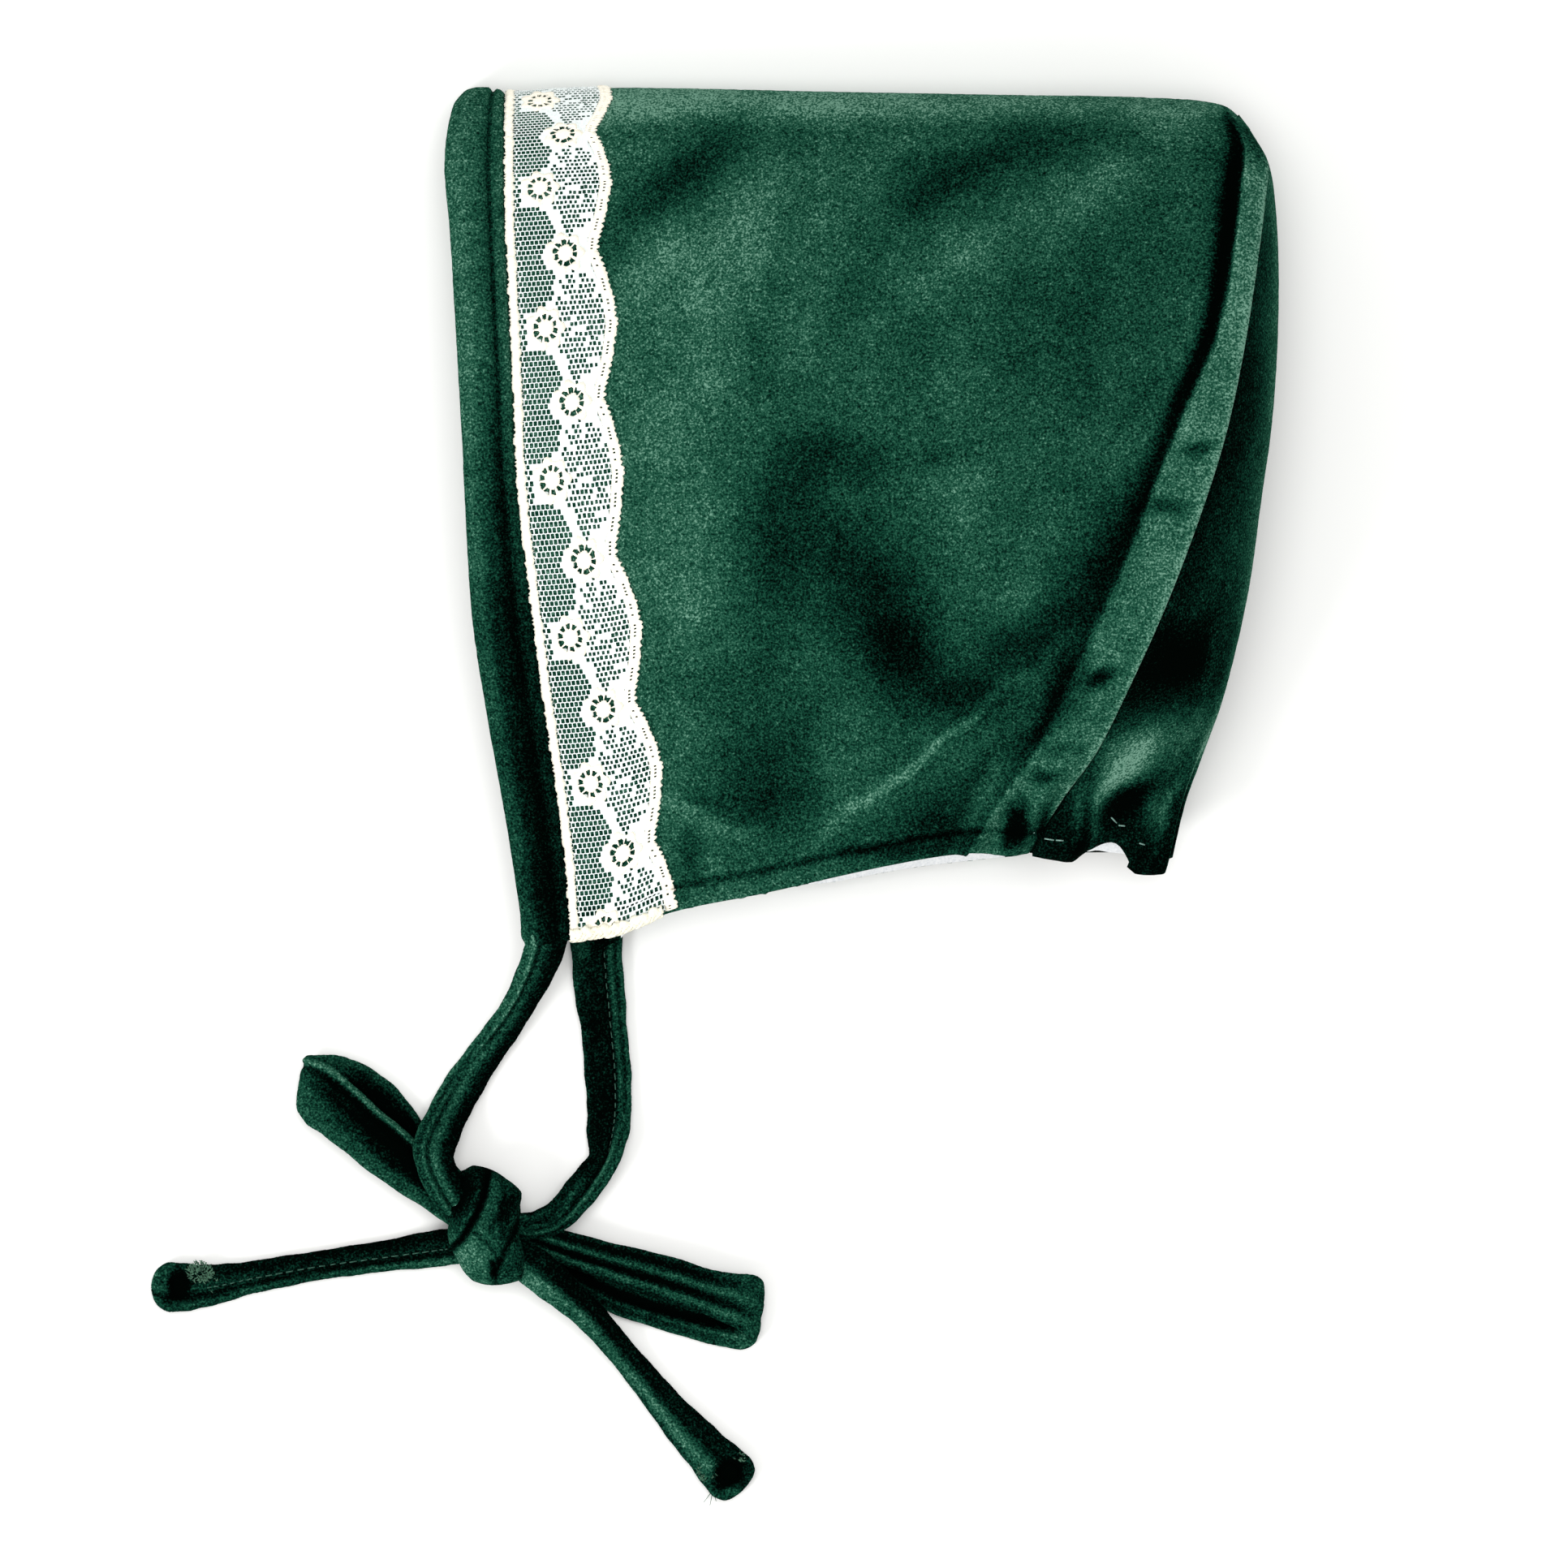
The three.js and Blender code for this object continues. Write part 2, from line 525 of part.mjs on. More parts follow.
function sideGrid() {
  const turns = Array.from({ length: 2 * ROWS_PER_LAYER + 1 }, (_, j) => j / ROWS_PER_LAYER - 1);
  const count = FRONT_COLUMNS + STRIP_COLUMN_SHARES.length;
  return Array.from({ length: count }, (_, i) =>
    turns.map((turn) => {
      const along = sideColumns(downOf(turn))[i];
      const atSeam = i === count - 1;
      const facing = atSeam ? seamFacing(turn) : sideFacing(along, turn);
      return { point: sidePoint(along, turn), facing };
    }),
  );
}

function crownGrid() {
  return Array.from({ length: CROWN_COLUMNS + 1 }, (_, m) => {
    const across = m / CROWN_COLUMNS;
    const edge = m === 0 || m === CROWN_COLUMNS;
    return Array.from({ length: ROWS_PER_LAYER + 1 }, (_, k) => {
      const turn = k / ROWS_PER_LAYER;
      const point = crownPoint(turn, clamp(across, SEAM_INSET_SHARE, 1 - SEAM_INSET_SHARE));
      point.x += edge || k < 2 ? SEAM_CLEARANCE : 0;
      if (k === 0) {
        point.y -= SEAM_CLEARANCE;
        return { point, facing: seamFacing(0) };
      }
      const seamTurn = m === 0 ? turn : -turn;
      return { point, facing: edge ? seamFacing(seamTurn) : crownLeaning(turn, across) };
    });
  });
}

// Rounded band that wraps the face edge of all layers, from one front corner over the top to the other
function roundedFlat(side) {
  const angle = (2 * Math.PI * side) / STRAP_SIDES;
  return {
    wide: Math.sign(Math.cos(angle)) * Math.abs(Math.cos(angle)) ** FLATNESS_SHARE,
    high: Math.sign(Math.sin(angle)) * Math.abs(Math.sin(angle)) ** FLATNESS_SHARE,
  };
}

function bindingRing(turn) {
  const down = downOf(turn);
  const edge = sidePoint(0, turn);
  const out = sideFacing(0, turn);
  const forward = sidePoint(-TINY_SHARE, turn).sub(sidePoint(TINY_SHARE, turn)).normalize();
  const width = PANEL_LENGTH * (bindingOver(down) - faceOver(down));
  const middle = (BINDING_PROUD - BODY_DEPTH - GAP) / 2;
  const half = (BINDING_PROUD + BODY_DEPTH + GAP) / 2;
  return Array.from({ length: STRAP_SIDES }, (_, side) => {
    const { wide, high } = roundedFlat(side);
    const across = (width * (1 - wide)) / 2;
    return edge.clone().addScaledVector(forward, across).addScaledVector(out, middle + half * high);
  });
}

function bindingBody() {
  const turns = Array.from({ length: 2 * ROWS_PER_LAYER + 1 }, (_, j) => j / ROWS_PER_LAYER - 1);
  return sweptBody(turns.map(bindingRing));
}

// Turns of the side panel at even distances along the edge of the binding
function evenTurns(step) {
  const lengths = [0];
  const turns = [-1];
  let last = sidePoint(0, -1);
  for (let i = 1; i <= EDGE_SAMPLES; i += 1) {
    const turn = (2 * i) / EDGE_SAMPLES - 1;
    const next = sidePoint(0, turn);
    turns.push(turn);
    lengths.push(lengths[i - 1] + next.distanceTo(last));
    last = next;
  }
  const foldAt = lengths[EDGE_SAMPLES / 2];
  const whole = lengths[EDGE_SAMPLES];
  const count = Math.round(whole / step);
  const turnAt = new THREE.LinearInterpolant(lengths, turns, 1);
  return Array.from({ length: count + 1 }, (_, i) => {
    const length = (whole * i) / count;
    return { turn: turnAt.evaluate(length)[0], fromFold: length - foldAt };
  });
}

// Lace band over the side panel, straight along the binding and scalloped on its other edge
function laceBody() {
  const stations = evenTurns(SCALLOP_PITCH / FACETS_PER_SCALLOP);
  const grid = LACE_SHARES.map((share) =>
    stations.map(({ turn, fromFold }) => {
      const wave = Math.abs(Math.sin((Math.PI * (fromFold - SCALLOP_START)) / SCALLOP_PITCH));
      const width = LACE_WIDTH - SCALLOP_DEPTH * (1 - wave);
      const along = (GAP + (width - GAP) * share) / panelWidth(downOf(turn));
      return { point: sidePoint(along, turn), facing: sideFacing(along, turn) };
    }),
  );
  return wallOf(grid, -GAP - LACE_WALL, -GAP);
}

// A flat sewn strap through centres, each with its roll and width, closed at both ends
function strapBody(nodes, thickness, firstRing = null) {
  const path = new THREE.CatmullRomCurve3(nodes.map((node) => node.centre), false, "centripetal");
  const spans = nodes.length - 1;
  const rings = [];
  for (let i = 0; i <= spans * 2; i += 1) {
    const share = i / (spans * 2);
    const first = Math.min(Math.floor(i / 2), spans - 1);
    const mix = i / 2 - first;
    const roll = THREE.MathUtils.degToRad(lerp(nodes[first].roll, nodes[first + 1].roll, mix));
    const width = TIE_WIDTH * lerp(nodes[first].width, nodes[first + 1].width, mix);
    const centre = path.getPoint(share);
    const ahead = path.getTangent(share);
    const level = new THREE.Vector3(-ahead.y, ahead.x, 0).normalize();
    const upright = ahead.clone().cross(level);
    const flat = level.clone().multiplyScalar(Math.cos(roll)).addScaledVector(upright, Math.sin(roll));
    const thin = upright.clone().multiplyScalar(Math.cos(roll)).addScaledVector(level, -Math.sin(roll));
    rings.push(
      Array.from({ length: STRAP_SIDES }, (_, side) => {
        const { wide, high } = roundedFlat(side);
        return centre
          .clone()
          .addScaledVector(flat, (wide * width) / 2)
          .addScaledVector(thin, (high * thickness) / 2);
      }),
    );
  }
  if (firstRing) {
    rings[0] = firstRing;
  }
  return sweptBody(rings);
}

// Middle of the binding at one turn, which is a front corner of the face opening at its two ends
function bindingEnd(turn) {
  const ring = bindingRing(turn);
  const sum = ring.reduce((total, point) => total.add(point), new THREE.Vector3());
  return sum.divideScalar(ring.length);
}

const nearCorner = bindingEnd(1);
const farCorner = bindingEnd(-1);
const knotCentre = new THREE.Vector3(
  nearCorner.x - TIE_DROP * KNOT_LEAN_SHARE,
  nearCorner.y - TIE_DROP,
  KNOT_THICKNESS / 2,
);

// A tie runs on from the end of the binding, a small gap away, because both are one strip
function runOn(turn) {
  const ring = bindingRing(turn);
  const before = bindingEnd(turn * (1 - TINY_SHARE));
  const onward = bindingEnd(turn).sub(before).normalize();
  const moved = ring.map((point) => point.addScaledVector(onward, GAP));
  return turn > 0 ? moved : [moved[0], ...moved.slice(1).reverse()];
}

function tieBody(rows, corner, turn) {
  const rest = (TIE_THICKNESS + GAP) / 2;
  const nodes = rows.map(({ down, aside, lift, climb, roll, width }) => {
    const centre = corner.clone().lerp(knotCentre, down);
    centre.x += aside * TIE_DROP;
    centre.z = rest + (corner.z - rest) * lift + (knotCentre.z - rest) * climb;
    return { centre, roll, width };
  });
  return strapBody(nodes, TIE_THICKNESS, runOn(turn));
}

function bowStrap(rows, heading, reach, thickness) {
  const nodes = rows.map(({ along, aside, rise, roll, width }) => {
    const centre = new THREE.Vector3(along * reach, aside * reach, rise * thickness);
    centre.applyAxisAngle(new THREE.Vector3(0, 0, 1), heading);
    centre.x += knotCentre.x;
    centre.y += knotCentre.y;
    return { centre, roll, width };
  });
  return strapBody(nodes, thickness);
}

// The knot: a full rounded body with wrapped bands across it
function knotBody(grown) {
  const power = (value) => Math.sign(value) * Math.abs(value) ** KNOT_SQUARENESS_SHARE;
  const corners = [];
  const point = (ring, side) => {
    const tilt = (Math.PI * ring) / KNOT_RINGS;
    const angle = (2 * Math.PI * (side % KNOT_SIDES)) / KNOT_SIDES;
    const across = Math.sin(tilt) * Math.cos(angle);
    const upward = Math.sin(tilt) * Math.sin(angle);
    const length = Math.cos(tilt);
    const wrap = KNOT_BAND_TURNS.length * length + KNOT_BAND_TURNS.across * across;
    const band = 1 + KNOT_BAND_SHARE * Math.cos(wrap) * Math.sin(tilt);
    return new THREE.Vector3(
      power(across) * band * (KNOT_WIDTH / 2 + grown),
      power(length) * (KNOT_HEIGHT / 2 + grown),
      power(upward) * (KNOT_THICKNESS / 2 + grown),
    );
  };
  for (let ring = 0; ring < KNOT_RINGS; ring += 1) {
    for (let side = 0; side < KNOT_SIDES; side += 1) {
      const a = point(ring, side);
      const b = point(ring, side + 1);
      const c = point(ring + 1, side + 1);
      const d = point(ring + 1, side);
      corners.push(a, b, c, a, c, d);
    }
  }
  const turned = new THREE.Matrix4().makeRotationZ(KNOT_TILT).setPosition(knotCentre);
  return closedBody(corners.map((corner) => corner.clone().applyMatrix4(turned)));
}

function solidOf(geometry) {
  const mesh = new wasm.Mesh({
    numProp: 3,
    vertProperties: new Float32Array(geometry.getAttribute("position").array),
    triVerts: new Uint32Array(geometry.index.array),
  });
  return new wasm.Manifold(mesh);
}

// Cuts a strap back from the knot, so that it ends at the knot's face
function cutBack(geometry) {
  const cut = solidOf(geometry).subtract(solidOf(knotBody(GAP))).getMesh();
  const body = new THREE.BufferGeometry();
  body.setAttribute("position", new THREE.BufferAttribute(new Float32Array(cut.vertProperties), 3));
  body.setIndex(Array.from(cut.triVerts));
  return body;
}

const clothOf = (color, roughness) => new THREE.MeshStandardMaterial({ color, roughness, metalness: 0 });
const velvet = clothOf(VELVET_GREEN, PILE_ROUGHNESS);
const cotton = clothOf(LINING_WHITE, COTTON_ROUGHNESS);
const lace = clothOf(LACE_CREAM, COTTON_ROUGHNESS);
const group = new THREE.Group();

function addPiece(name, geometry, material) {
  const piece = new THREE.Mesh(geometry, material);
  piece.name = name;
  group.add(piece);
}

const side = sideGrid();
const crown = crownGrid();
const crownUnderSeam = crown.map((column) => column.slice(LINING_FIRST_ROW));
const liningStart = VELVET_WALL + GAP;
const liningEnd = liningStart + LINING_WALL;
addPiece("side_panel", wallOf(side, 0, VELVET_WALL), velvet);
addPiece("side_lining", wallOf(side, liningStart, liningEnd), cotton);
addPiece("crown_panel", wallOf(crown, 0, VELVET_WALL), velvet);
addPiece("crown_lining", wallOf(crownUnderSeam, liningStart, liningEnd), cotton);
addPiece("face_binding", bindingBody(), velvet);
addPiece("lace_trim", laceBody(), lace);
addPiece("bow_knot", knotBody(0), velvet);

const leftLoop = bowStrap(LEFT_LOOP, LEFT_LOOP_HEADING, LEFT_LOOP_REACH, LOOP_THICKNESS);
const rightLoop = bowStrap(RIGHT_LOOP, RIGHT_LOOP_HEADING, RIGHT_LOOP_REACH, LOOP_THICKNESS);
const leftEnd = bowStrap(LEFT_END, LEFT_END_HEADING, LEFT_END_REACH, TIE_THICKNESS);
const rightEnd = bowStrap(RIGHT_END, RIGHT_END_HEADING, RIGHT_END_REACH, TIE_THICKNESS);
addPiece("tie_near", cutBack(tieBody(NEAR_TIE, nearCorner, 1)), velvet);
addPiece("tie_far", cutBack(tieBody(FAR_TIE, farCorner, -1)), velvet);
addPiece("bow_loop_left", cutBack(leftLoop), velvet);
addPiece("bow_loop_right", cutBack(rightLoop), velvet);
addPiece("tie_end_left", cutBack(leftEnd), velvet);
addPiece("tie_end_right", cutBack(rightEnd), velvet);

// The origin is the middle of the underside, and the under layer lies on the surface at no height
const bounds = new THREE.Box3().setFromObject(group, true);
const middle = bounds.getCenter(new THREE.Vector3());
group.position.set(-middle.x, -middle.y, 0);
group.updateMatrixWorld(true);

export default group;
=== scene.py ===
# %% [markdown]
# # A baby bonnet in green velvet
# The bonnet lies on its side, folded along the top of the head. The face opening is on the left, edged
# with a band of the same velvet and a strip of cream lace. The band runs on into two ties, and the ties
# are knotted in a bow. We first load the CAD model, because every piece has to lie where it says.

import math

import bmesh
import bpy
import numpy as np
from mathutils import Matrix, Vector


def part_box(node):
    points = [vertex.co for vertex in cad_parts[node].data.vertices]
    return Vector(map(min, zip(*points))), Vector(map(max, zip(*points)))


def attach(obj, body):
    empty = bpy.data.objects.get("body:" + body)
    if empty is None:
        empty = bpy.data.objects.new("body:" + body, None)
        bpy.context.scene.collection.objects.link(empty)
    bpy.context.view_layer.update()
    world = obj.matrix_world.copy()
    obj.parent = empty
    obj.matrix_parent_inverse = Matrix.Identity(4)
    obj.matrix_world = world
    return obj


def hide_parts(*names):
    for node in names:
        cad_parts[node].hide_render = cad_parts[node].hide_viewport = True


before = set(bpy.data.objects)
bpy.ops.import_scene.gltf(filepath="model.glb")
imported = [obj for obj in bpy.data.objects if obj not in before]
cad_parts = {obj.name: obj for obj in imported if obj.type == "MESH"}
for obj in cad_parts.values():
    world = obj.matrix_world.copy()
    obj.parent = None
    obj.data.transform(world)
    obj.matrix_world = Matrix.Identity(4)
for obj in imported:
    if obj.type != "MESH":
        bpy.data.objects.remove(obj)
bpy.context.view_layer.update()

# %% [markdown]
# ## The camera
# The photograph was taken from straight above with a long lens, so the camera stands high over the floor
# and looks down. A long lens keeps the crown, which is the highest part, from looking too large. The
# width of the picture is measured in the middle of the cloth, a little over the floor.

# %% Camera
CAMERA_HEIGHT = 4.0
PICTURE_WIDTH = 0.2995
PICTURE_MIDDLE = (0.0128, 0.0011)
MEASURED_ABOVE_FLOOR = 0.015
SENSOR_WIDTH = 36

camera_data = bpy.data.cameras.new("camera")
camera_data.sensor_width = SENSOR_WIDTH
camera_data.lens = SENSOR_WIDTH * CAMERA_HEIGHT / PICTURE_WIDTH
camera = bpy.data.objects.new("camera", camera_data)
camera.location = (*PICTURE_MIDDLE, CAMERA_HEIGHT + MEASURED_ABOVE_FLOOR)
bpy.context.scene.collection.objects.link(camera)
bpy.context.scene.camera = camera
print("Lens in mm:", round(camera_data.lens))

# %% [markdown]
# ## Light
# Velvet shows its pile by side light: a flank that faces the light is green and the one behind it is almost
# black. Most of that light and shade is painted into the velvet's colour, from a lamp at the lower left. One
# lamp stands at the lower left, a wider one hangs above the bonnet, and a white sky fills the shadows
# softly.

# %% Studio
SKY_STRENGTH = 0.75

scene = bpy.context.scene
scene.view_settings.view_transform = "Standard"
scene.view_settings.look = "None"

world = bpy.data.worlds.new("studio")
world.use_nodes = True
world.node_tree.nodes["Background"].inputs["Color"].default_value = (1, 1, 1, 1)
world.node_tree.nodes["Background"].inputs["Strength"].default_value = SKY_STRENGTH
scene.world = world


def add_lamp(name, place, size, watts):
    """A round lamp, size metres across, that looks at the middle of the bonnet."""
    data = bpy.data.lights.new(name, "AREA")
    data.shape = "DISK"
    data.size = size
    data.energy = watts
    lamp = bpy.data.objects.new(name, data)
    lamp.location = place
    lamp.rotation_euler = (-Vector(place)).to_track_quat("-Z", "Y").to_euler()
    scene.collection.objects.link(lamp)
    print(name, "watts:", watts)


add_lamp("key_lamp", place=(-0.9, -0.7, 0.8), size=0.5, watts=9)
add_lamp("top_lamp", place=(0.1, 0.2, 1.6), size=1.2, watts=14)

# %% [markdown]
# ## Helpers for materials
# Colours are written as the hex values that a picture editor shows, and one function turns them into
# the linear values that the renderer adds up. One more function adds a node with its settings and links.

# %% Colour and node helpers
def hex_colour(value):
    """The linear colour for a hex value, with full opacity."""
    channels = [((value >> shift) & 255) / 255 for shift in (16, 8, 0)]
    linear = [c / 12.92 if c <= 0.04045 else ((c + 0.055) / 1.055) ** 2.4 for c in channels]
    return (*linear, 1.0)


def add_node(material, kind, inputs=None, stops=None, **settings):
    """Adds one node. An input is a value or another node's output, and stops are the colours of a ramp."""
    node = material.node_tree.nodes.new(kind)
    for key, value in settings.items():
        setattr(node, key, value)
    for socket, value in (inputs or {}).items():
        if isinstance(value, bpy.types.NodeSocket):
            material.node_tree.links.new(value, node.inputs[socket])
        else:
            node.inputs[socket].default_value = value
    if stops:
        ramp = node.color_ramp.elements
        while len(ramp) < len(stops):
            ramp.new(0.5)
        for element, (place, colour) in zip(ramp, stops):
            element.position = place
            element.color = hex_colour(colour)
    return node


def new_material(name):
    material = bpy.data.materials.new(name)
    material.use_nodes = True
    material.node_tree.nodes.clear()
    return material


# %% [markdown]
# ## Floor
# The photograph shows the bonnet on plain white. A wide sheet of pale, dull paper stands in for that and
# catches a soft shadow. It lies a hair below zero, so that it never flickers where cloth touches it.

# %% Floor
FLOOR_REACH = 4
FLOOR_DROP = 0.0002

floor_paper = new_material("white_paper_sweep")
surface = add_node(
    floor_paper,
    "ShaderNodeBsdfPrincipled",
    {"Base Color": hex_colour(0xF6F6F4), "Roughness": 0.9, "Specular IOR Level": 0.1},
)
add_node(floor_paper, "ShaderNodeOutputMaterial", {"Surface": surface.outputs["BSDF"]})

floor_mesh = bpy.data.meshes.new("floor")
floor_shape = bmesh.new()
bmesh.ops.create_grid(floor_shape, x_segments=1, y_segments=1, size=FLOOR_REACH)
floor_shape.to_mesh(floor_mesh)
floor_shape.free()
floor_mesh.materials.append(floor_paper)
floor = bpy.data.objects.new("floor", floor_mesh)
floor.location = (0, 0, -FLOOR_DROP)
scene.collection.objects.link(floor)
print("Floor, metres across:", 2 * FLOOR_REACH)

# %% [markdown]
# ## Velvet
# Velvet is woven with a cut pile about a millimetre deep. Where the pile leans towards the light it is a
# clear green, and where it leans away it is nearly black. Each piece carries an attribute that holds how the
# pile lies together with painted light and shade: side light from the lower left, painted sheen and
# highlights on folds, rims and ridges, and painted shade in grooves, creases and hollows. The material turns
# it into a colour. Three noises of different sizes break it up: the tufts, the clumps that tufts stick
# together in, and the patches where wear has crushed it.

# %% Velvet material
PILE_TUFT_MM = 0.42
PILE_CLUMP_MM = 1.4
CRUSHED_PATCH_MM = 12
TUFT_CONTRAST = 1.65
CLUMP_CONTRAST = 0.38
PATCH_CONTRAST = 0.35


def noise_scale(size_mm):
    return 1000 / size_mm


def add_grain(material, place, size_mm, contrast, onto):
    """Adds noise of one size, round zero, onto a value. Also gives back the noise itself."""
    noise = add_node(
        material,
        "ShaderNodeTexNoise",
        {"Vector": place, "Scale": noise_scale(size_mm), "Detail": 2.0, "Roughness": 0.6},
    ).outputs["Fac"]
    share = add_node(
        material, "ShaderNodeMath", {0: noise, 1: contrast, 2: -contrast / 2}, operation="MULTIPLY_ADD"
    ).outputs[0]
    return add_node(material, "ShaderNodeMath", {0: onto, 1: share}, operation="ADD").outputs[0], noise


def make_velvet(name):
    """Deep green, dull and soft: no shine of its own, and only a trace of sheen on its flanks."""
    velvet = new_material(name)
    place = add_node(velvet, "ShaderNodeTexCoord").outputs["Object"]
    # This attribute holds the pile's lean together with painted light and shade.
    pile_and_painted_light = add_node(velvet, "ShaderNodeAttribute", attribute_name="pile_and_painted_light").outputs["Fac"]
    lean, tufts = add_grain(velvet, place, PILE_TUFT_MM, TUFT_CONTRAST, pile_and_painted_light)
    lean, _ = add_grain(velvet, place, PILE_CLUMP_MM, CLUMP_CONTRAST, lean)
    lean, _ = add_grain(velvet, place, CRUSHED_PATCH_MM, PATCH_CONTRAST, lean)
    # The ramp runs from the near black of painted shade to the light green of painted light and of pile that
    # leans towards the lamp.
    colour = add_node(
        velvet,
        "ShaderNodeValToRGB",
        {"Fac": lean},
        stops=[(0.0, 0x010302), (0.25, 0x041C15), (0.5, 0x0F3B2C), (0.75, 0x2A5846), (1.0, 0x668F7C)],
    ).outputs["Color"]
    bump = add_node(
        velvet, "ShaderNodeBump", {"Height": tufts, "Strength": 0.4, "Distance": 0.0004}
    ).outputs["Normal"]
    surface = add_node(
        velvet,
        "ShaderNodeBsdfPrincipled",
        {
            "Base Color": colour,
            "Roughness": 0.95,
            "Specular IOR Level": 0.0,
            "Sheen Weight": 0.01,
            "Sheen Roughness": 0.4,
            "Sheen Tint": hex_colour(0x7FC0A0),
            "Normal": bump,
        },
    )
    add_node(velvet, "ShaderNodeOutputMaterial", {"Surface": surface.outputs["BSDF"]})
    return velvet


velvet = make_velvet("cotton_velvet")
print("Velvet nodes:", len(velvet.node_tree.nodes))

# %% [markdown]
# ## Cotton and thread
# Everything else is plain cotton. A noise about as fine as its threads runs between two close colours
# and roughens the surface a little, so one function makes them all. The lining is a cool white and the
# lace a warm cream. The net is darker and bluer, since its threads are thin, and the turned end is
# yellower and coarser. One sewing thread matches the velvet, one is paler, and frayed ends vary most.

# %% Cotton and thread materials
def make_plain_weave(name, low, high, thread_mm):
    """Plain cotton between two colours, with threads of about this size."""
    cloth = new_material(name)
    place = add_node(cloth, "ShaderNodeTexCoord").outputs["Object"]
    threads = add_node(
        cloth, "ShaderNodeTexNoise", {"Vector": place, "Scale": noise_scale(thread_mm), "Detail": 3.0}
    ).outputs["Fac"]
    colour = add_node(
        cloth, "ShaderNodeValToRGB", {"Fac": threads}, stops=[(0.25, low), (0.75, high)]
    ).outputs["Color"]
    bump = add_node(
        cloth, "ShaderNodeBump", {"Height": threads, "Strength": 0.3, "Distance": 0.0002}
    ).outputs["Normal"]
    surface = add_node(
        cloth,
        "ShaderNodeBsdfPrincipled",
        {"Base Color": colour, "Roughness": 0.85, "Specular IOR Level": 0.2, "Normal": bump},
    )
    add_node(cloth, "ShaderNodeOutputMaterial", {"Surface": surface.outputs["BSDF"]})
    return cloth


cotton = make_plain_weave("white_cotton_lining", 0xD9DDE0, 0xF7F8F8, 0.4)
lace_thread = make_plain_weave("cream_lace_thread", 0xEDE6CF, 0xFDFAF0, 0.3)
lace_net = make_plain_weave("white_net_thread", 0xD3DEDC, 0xEEF3F2, 0.3)
green_thread = make_plain_weave("green_sewing_thread", 0x143328, 0x3A6152, 0.3)
pale_thread = make_plain_weave("pale_sewing_thread", 0x4C7265, 0x8AA9A0, 0.3)
frayed_green = make_plain_weave("frayed_green_thread", 0x0E2A20, 0x527A62, 0.8)
turned_lace = make_plain_weave("yellowed_lace_end", 0xDFDABF, 0xF8F6EA, 0.9)
print("Lining and lace:", cotton.name, lace_thread.name, lace_net.name, turned_lace.name)

# %% [markdown]
# ## The shape of the folded bonnet
# The side panel is one piece of cloth that goes from the hem of the upper layer, over the fold at the
# top of the head, to the hem of the under layer. We describe it by two shares: along, from the face to
# the crown, and turn, from -1 at the lower hem over 0 at the fold to 1 at the upper hem. The sizes are
# the ones of the CAD model, in millimetres.

# %% Sizes of the bonnet
PANEL_LENGTH = 151
FRONT_HEIGHT = 161
FACE_THICKNESS = 27
CROWN_THICKNESS = 50
FACE_FOLD_RADIUS = 7
CROWN_FOLD_RADIUS = 14
CROWN_BULGE = 25
FAR_CORNER_SHIFT = 9.3
HEM_RUFFLE = 4
HEM_DEPTH = 4.5
HEM_GROOVE = 0.5
HEM_ROLL = 1.3
HEM_GROOVE_SPREAD = 0.6
HEM_ROLL_WIDTH = 2.4
GATHER_DEPTH = 1.3
DENT_DEPTH = 2.4
VELVET_WALL = 1.8
LINING_WALL = 0.9
LACE_WIDTH = 20.6
SCALLOP_DEPTH = 3.3
SCALLOP_PITCH = 28.6
SCALLOP_START = 8.2
SEAM_ALLOWANCE = 10
SEAM_RIDGE = 0.9
SEAM_GROOVE = 0.7
STRIP_STEP = (0.8, 1.08)
GROOVE_AT = 1.25
GROOVE_SPREAD = 0.16
BINDING_PROUD = 1.3
TOPSTITCH_DEPTH = 0.9
TOPSTITCH_AT = 0.45
TOPSTITCH_SPREAD = 0.11
GAP = 0.3
FOLD_SWEEP = math.radians(115)
BODY_DEPTH = VELVET_WALL + GAP + LINING_WALL

FACE_EDGE = {
    "down": (0, 0.015, 0.08, 0.16, 0.37, 0.61, 0.735, 0.86, 1),
    "over": (0.02, 0.009, 0, 0.007, 0.02, 0.033, 0.053, 0.077, 0.1),
}
BINDING_EDGE = {
    "down": (0, 0.14, 0.336, 0.467, 0.709, 0.878, 1),
    "over": (0.076, 0.077, 0.087, 0.093, 0.124, 0.149, 0.159),
}
SEAM_EDGE = {
    "down": (0, 0.02, 0.058, 0.103, 0.2, 0.309, 0.417, 0.511, 0.646, 0.788, 0.867, 0.927, 1),
    "over": (1.011, 1.022, 1.039, 1.036, 1.024, 1.008, 0.987, 0.961, 0.915, 0.857, 0.82, 0.78, 0.738),
    "strip": (0.3, 0.4, 0.47, 0.47, 0.47, 0.53, 0.85, 1, 1.06, 1.15, 1.16, 1.16, 1.16),
    "bulge": (0, 0.004, 0.015, 0.08, 0.18, 0.265, 0.347, 0.43, 0.6, 0.765, 0.825, 0.92, 1.06),
}
CORNERS = {"binding_top": 0.007, "binding_foot": 1.013, "seam_top": 0.043, "seam_foot": 0.91}
EDGE_SAG = {
    "along": (0, 0.11, 0.22, 0.42, 0.7, 0.86, 0.97, 1),
    "top": (0, -0.01, -0.014, -0.017, -0.022, -0.025, -0.02, 0),
    "hem": (0, 0.003, -0.01, -0.012, -0.017, -0.014, -0.001, 0),
}
DENTS = (
    (0.3, 0.1, 0.1, 0.5),
    (0.5, 0.44, 0.15, 1),
    (0.62, 0.68, 0.12, 0.8),
    (0.38, 0.8, 0.13, 0.7),
    (0.7, 0.22, 0.13, 0.45),
    (0.82, 0.5, 0.11, -0.6),
    (0.3, 0.3, 0.14, -0.5),
)
